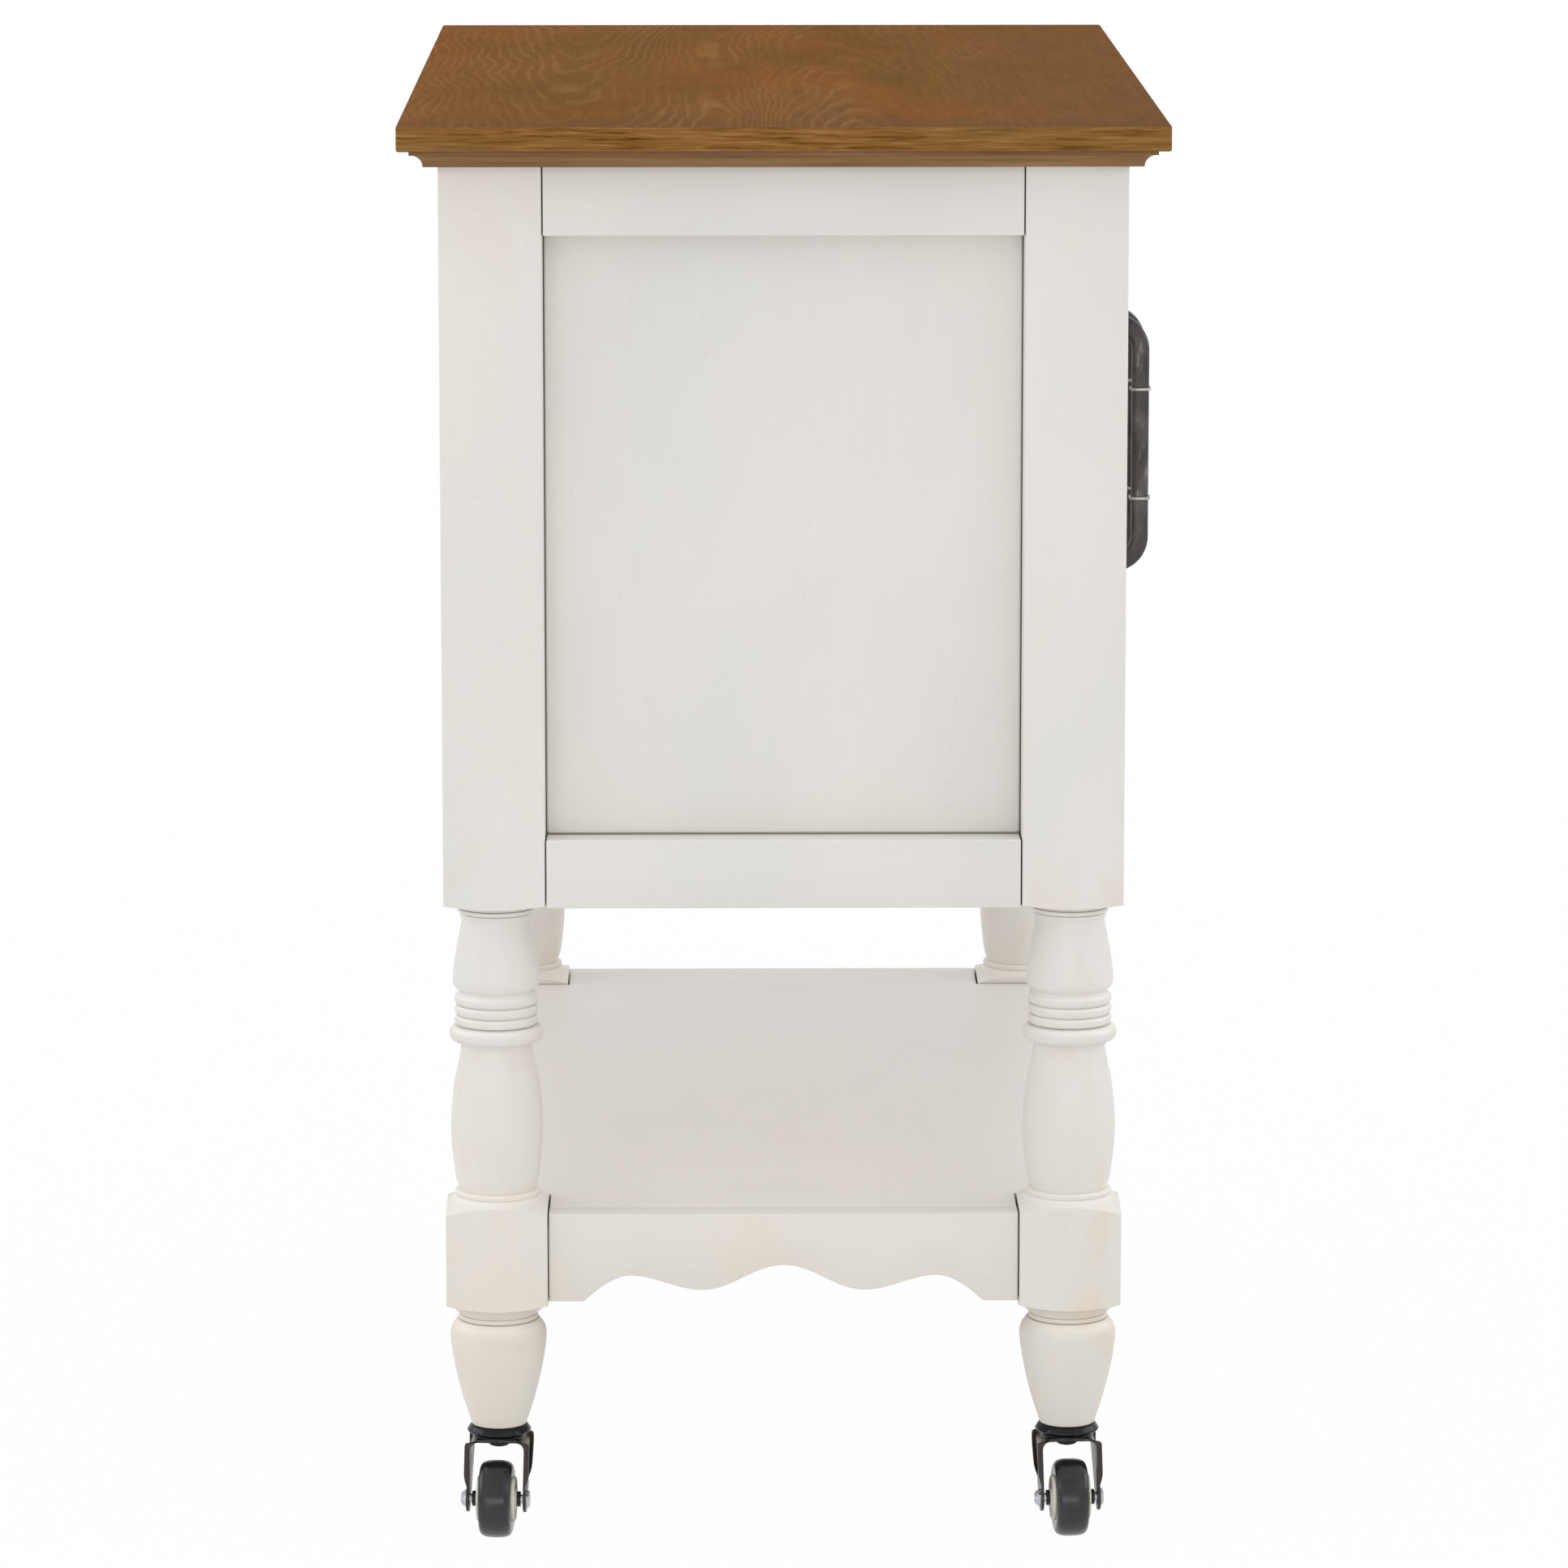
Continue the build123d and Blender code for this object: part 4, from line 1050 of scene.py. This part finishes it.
def hub():
    half = HUB_HALF
    outer = [(17.0, 0.0), (17.0, 9.2), (16.6, 9.5), (14.45, 9.5), (14.45, half - 1.4), (14.1, half - 0.9)]
    outer += [(13.2, half - 0.9), (12.8, half - 1.9), (8.2, half - 2.4), (7.0, half - 1.4), (6.5, half - 0.2)]
    outer += [(6.2, half), (3.05, half)]
    outline = mirrored(outer)
    return turned("hub", outline + [outline[0]], 96, axis="Y")


def tyre():
    half = TREAD_HALF
    outer = [(25.0, 0.0), (24.95, 2.5), (24.75, 5.0), (24.3, half - 3.4), (23.7, half - 2.1)]
    outer += [(22.8, half - 1.0), (21.6, half - 0.3), (20.2, half), (17.0, half - 0.2), (15.2, half)]
    outer += [(14.6, half - 0.3), (14.6, 9.6), (17.05, 9.6)]
    outline = mirrored(outer)
    return turned("tyre", outline + [outline[0]], 128, axis="Y")


def casters():
    cap = caster_cap()
    caps = []
    wheel = Matrix.Translation((-TRAIL * MM, 0, AXLE_HIGH * MM))
    drawn = {"fork": fork(), "axle": axle(), "hub": hub(), "tyre": tyre()}
    finishes = {"fork": None, "axle": None, "hub": "hub", "tyre": "tyre"}
    for corner in CORNERS:
        turn = joint_of[f"caster_{corner}_roll"]["axis"]
        stem = joint_of[f"caster_{corner}_turn"]["pos_m"]
        heading = math.atan2(-turn[0], turn[1])
        place = Matrix.Translation((stem[0], stem[1], 0)) @ Matrix.Rotation(heading, 4, "Z")
        caps.append(copy(cap, "cap", Matrix.Translation((stem[0], stem[1], 0))))
        for name, piece in drawn.items():
            where = place if name == "fork" else place @ wheel
            fit(copy(piece, f"caster_{corner}_{name}_piece", where), f"caster_{corner}_{name}", finishes[name])
    fit(join("caster_stem_caps", caps), "caster_stems", "black_steel")
    for piece in (cap, *drawn.values()):
        drop(piece)


# Stage, light and camera

def stage():
    """White floor: its shadow shows through a glow for camera and gloss, which is whole far away."""
    bpy.ops.mesh.primitive_plane_add(size=80, location=(0, 0, 0))
    floor = bpy.context.object
    floor.name = "studio_floor"
    f = Finish("pale_floor", Roughness=0.9, Base_Color=(0.82, 0.82, 0.82, 1), Specular_IOR_Level=0.1)
    glow = f.add("Emission", {"Color": (1, 1, 1, 1), "Strength": 1.0})
    rays = f.add("LightPath")
    either = f.maths("MAXIMUM", rays.outputs["Is Camera Ray"], rays.outputs["Is Glossy Ray"])
    away = f.add("VectorMath", {0: f.stretched((0.16, 0.16, 0.16))}, operation="LENGTH").outputs["Value"]
    share = f.ramp(away, (0.1, 0.98), (0.9, 1.0), interpolation="EASE")
    shown = f.maths("MULTIPLY", either, share)
    blend = f.add("MixShader", {0: shown, 1: f.shader.outputs[0], 2: glow.outputs[0]})
    f.links.new(blend.outputs[0], f.nodes["Material Output"].inputs["Surface"])
    floor.data.materials.append(f.material)


def sky():
    """A soft dome of light on the cart, with a white backdrop for the camera and transmission."""
    dome_level = 0.78
    world = bpy.data.worlds.new("studio")
    bpy.context.scene.world = world
    world.use_nodes = True
    nodes, links = world.node_tree.nodes, world.node_tree.links
    soft = nodes["Background"]
    soft.inputs["Color"].default_value = (1, 1, 1, 1)
    soft.inputs["Strength"].default_value = dome_level
    white = nodes.new("ShaderNodeBackground")
    white.inputs["Color"].default_value = (1, 1, 1, 1)
    white.inputs["Strength"].default_value = 1.0
    rays = nodes.new("ShaderNodeLightPath")
    highest = nodes.new("ShaderNodeMath")
    highest.operation = "MAXIMUM"
    links.new(rays.outputs["Is Camera Ray"], highest.inputs[0])
    links.new(rays.outputs["Is Transmission Ray"], highest.inputs[1])
    blend = nodes.new("ShaderNodeMixShader")
    links.new(highest.outputs[0], blend.inputs[0])
    links.new(soft.outputs[0], blend.inputs[1])
    links.new(white.outputs[0], blend.inputs[2])
    links.new(blend.outputs[0], nodes["World Output"].inputs["Surface"])


def softbox(name, place, target, size, power):
    light = bpy.data.lights.new(name, "AREA")
    light.shape = "RECTANGLE"
    light.size, light.size_y = size
    light.energy = power
    lamp = bpy.data.objects.new(name, light)
    bpy.context.scene.collection.objects.link(lamp)
    lamp.location = place
    lamp.rotation_euler = (Vector(target) - Vector(place)).to_track_quat("-Z", "Y").to_euler()


def lights():
    softbox("key_softbox", (-3.2, -2.2, 3.0), (0, 0, 0.5), (2.4, 2.4), 4)
    softbox("fill_softbox", (-3.4, 2.6, 1.8), (0, 0, 0.5), (2.6, 2.6), 4)
    softbox("top_softbox", (0.2, 0, 4.2), (0, 0, 0.5), (3.0, 3.0), 4)
    softbox("low_softbox", (-3.6, 0.3, 0.45), (0.1, 0, 0.25), (3.2, 0.8), 14)
    for name, side in (("door_softbox", -1), ("back_softbox", 1)):
        softbox(name, (0, 2.6 * side, 1.5), (0, 0, 0.3), (2.6, 1.2), 15)


def camera():
    """The photograph's own viewpoint, pitched down instead of shifted."""
    pitch, yaw = math.radians(9.93), math.radians(0.606)
    place = Vector((-5.1, 0.0555, 1.3171))
    forward = Vector((math.cos(pitch) * math.cos(yaw), -math.cos(pitch) * math.sin(yaw), -math.sin(pitch)))
    data = bpy.data.cameras.new("photo_camera")
    data.sensor_fit = "HORIZONTAL"
    data.sensor_width = 36.0
    data.lens = 172.6
    data.clip_end = 100
    view = bpy.data.objects.new("photo_camera", data)
    bpy.context.scene.collection.objects.link(view)
    view.location = place
    view.rotation_euler = forward.to_track_quat("-Z", "Y").to_euler()
    bpy.context.scene.camera = view


worktop()
moulded_frame()
legs()
case()
for side in SIDES:
    door(side)
bow_pulls()
pull_bands()
pull_screws()
pivots_and_bushes()
catch_and_strikes()
casters()
stage()
sky()
lights()
camera()
bpy.context.scene.view_settings.view_transform = "Standard"
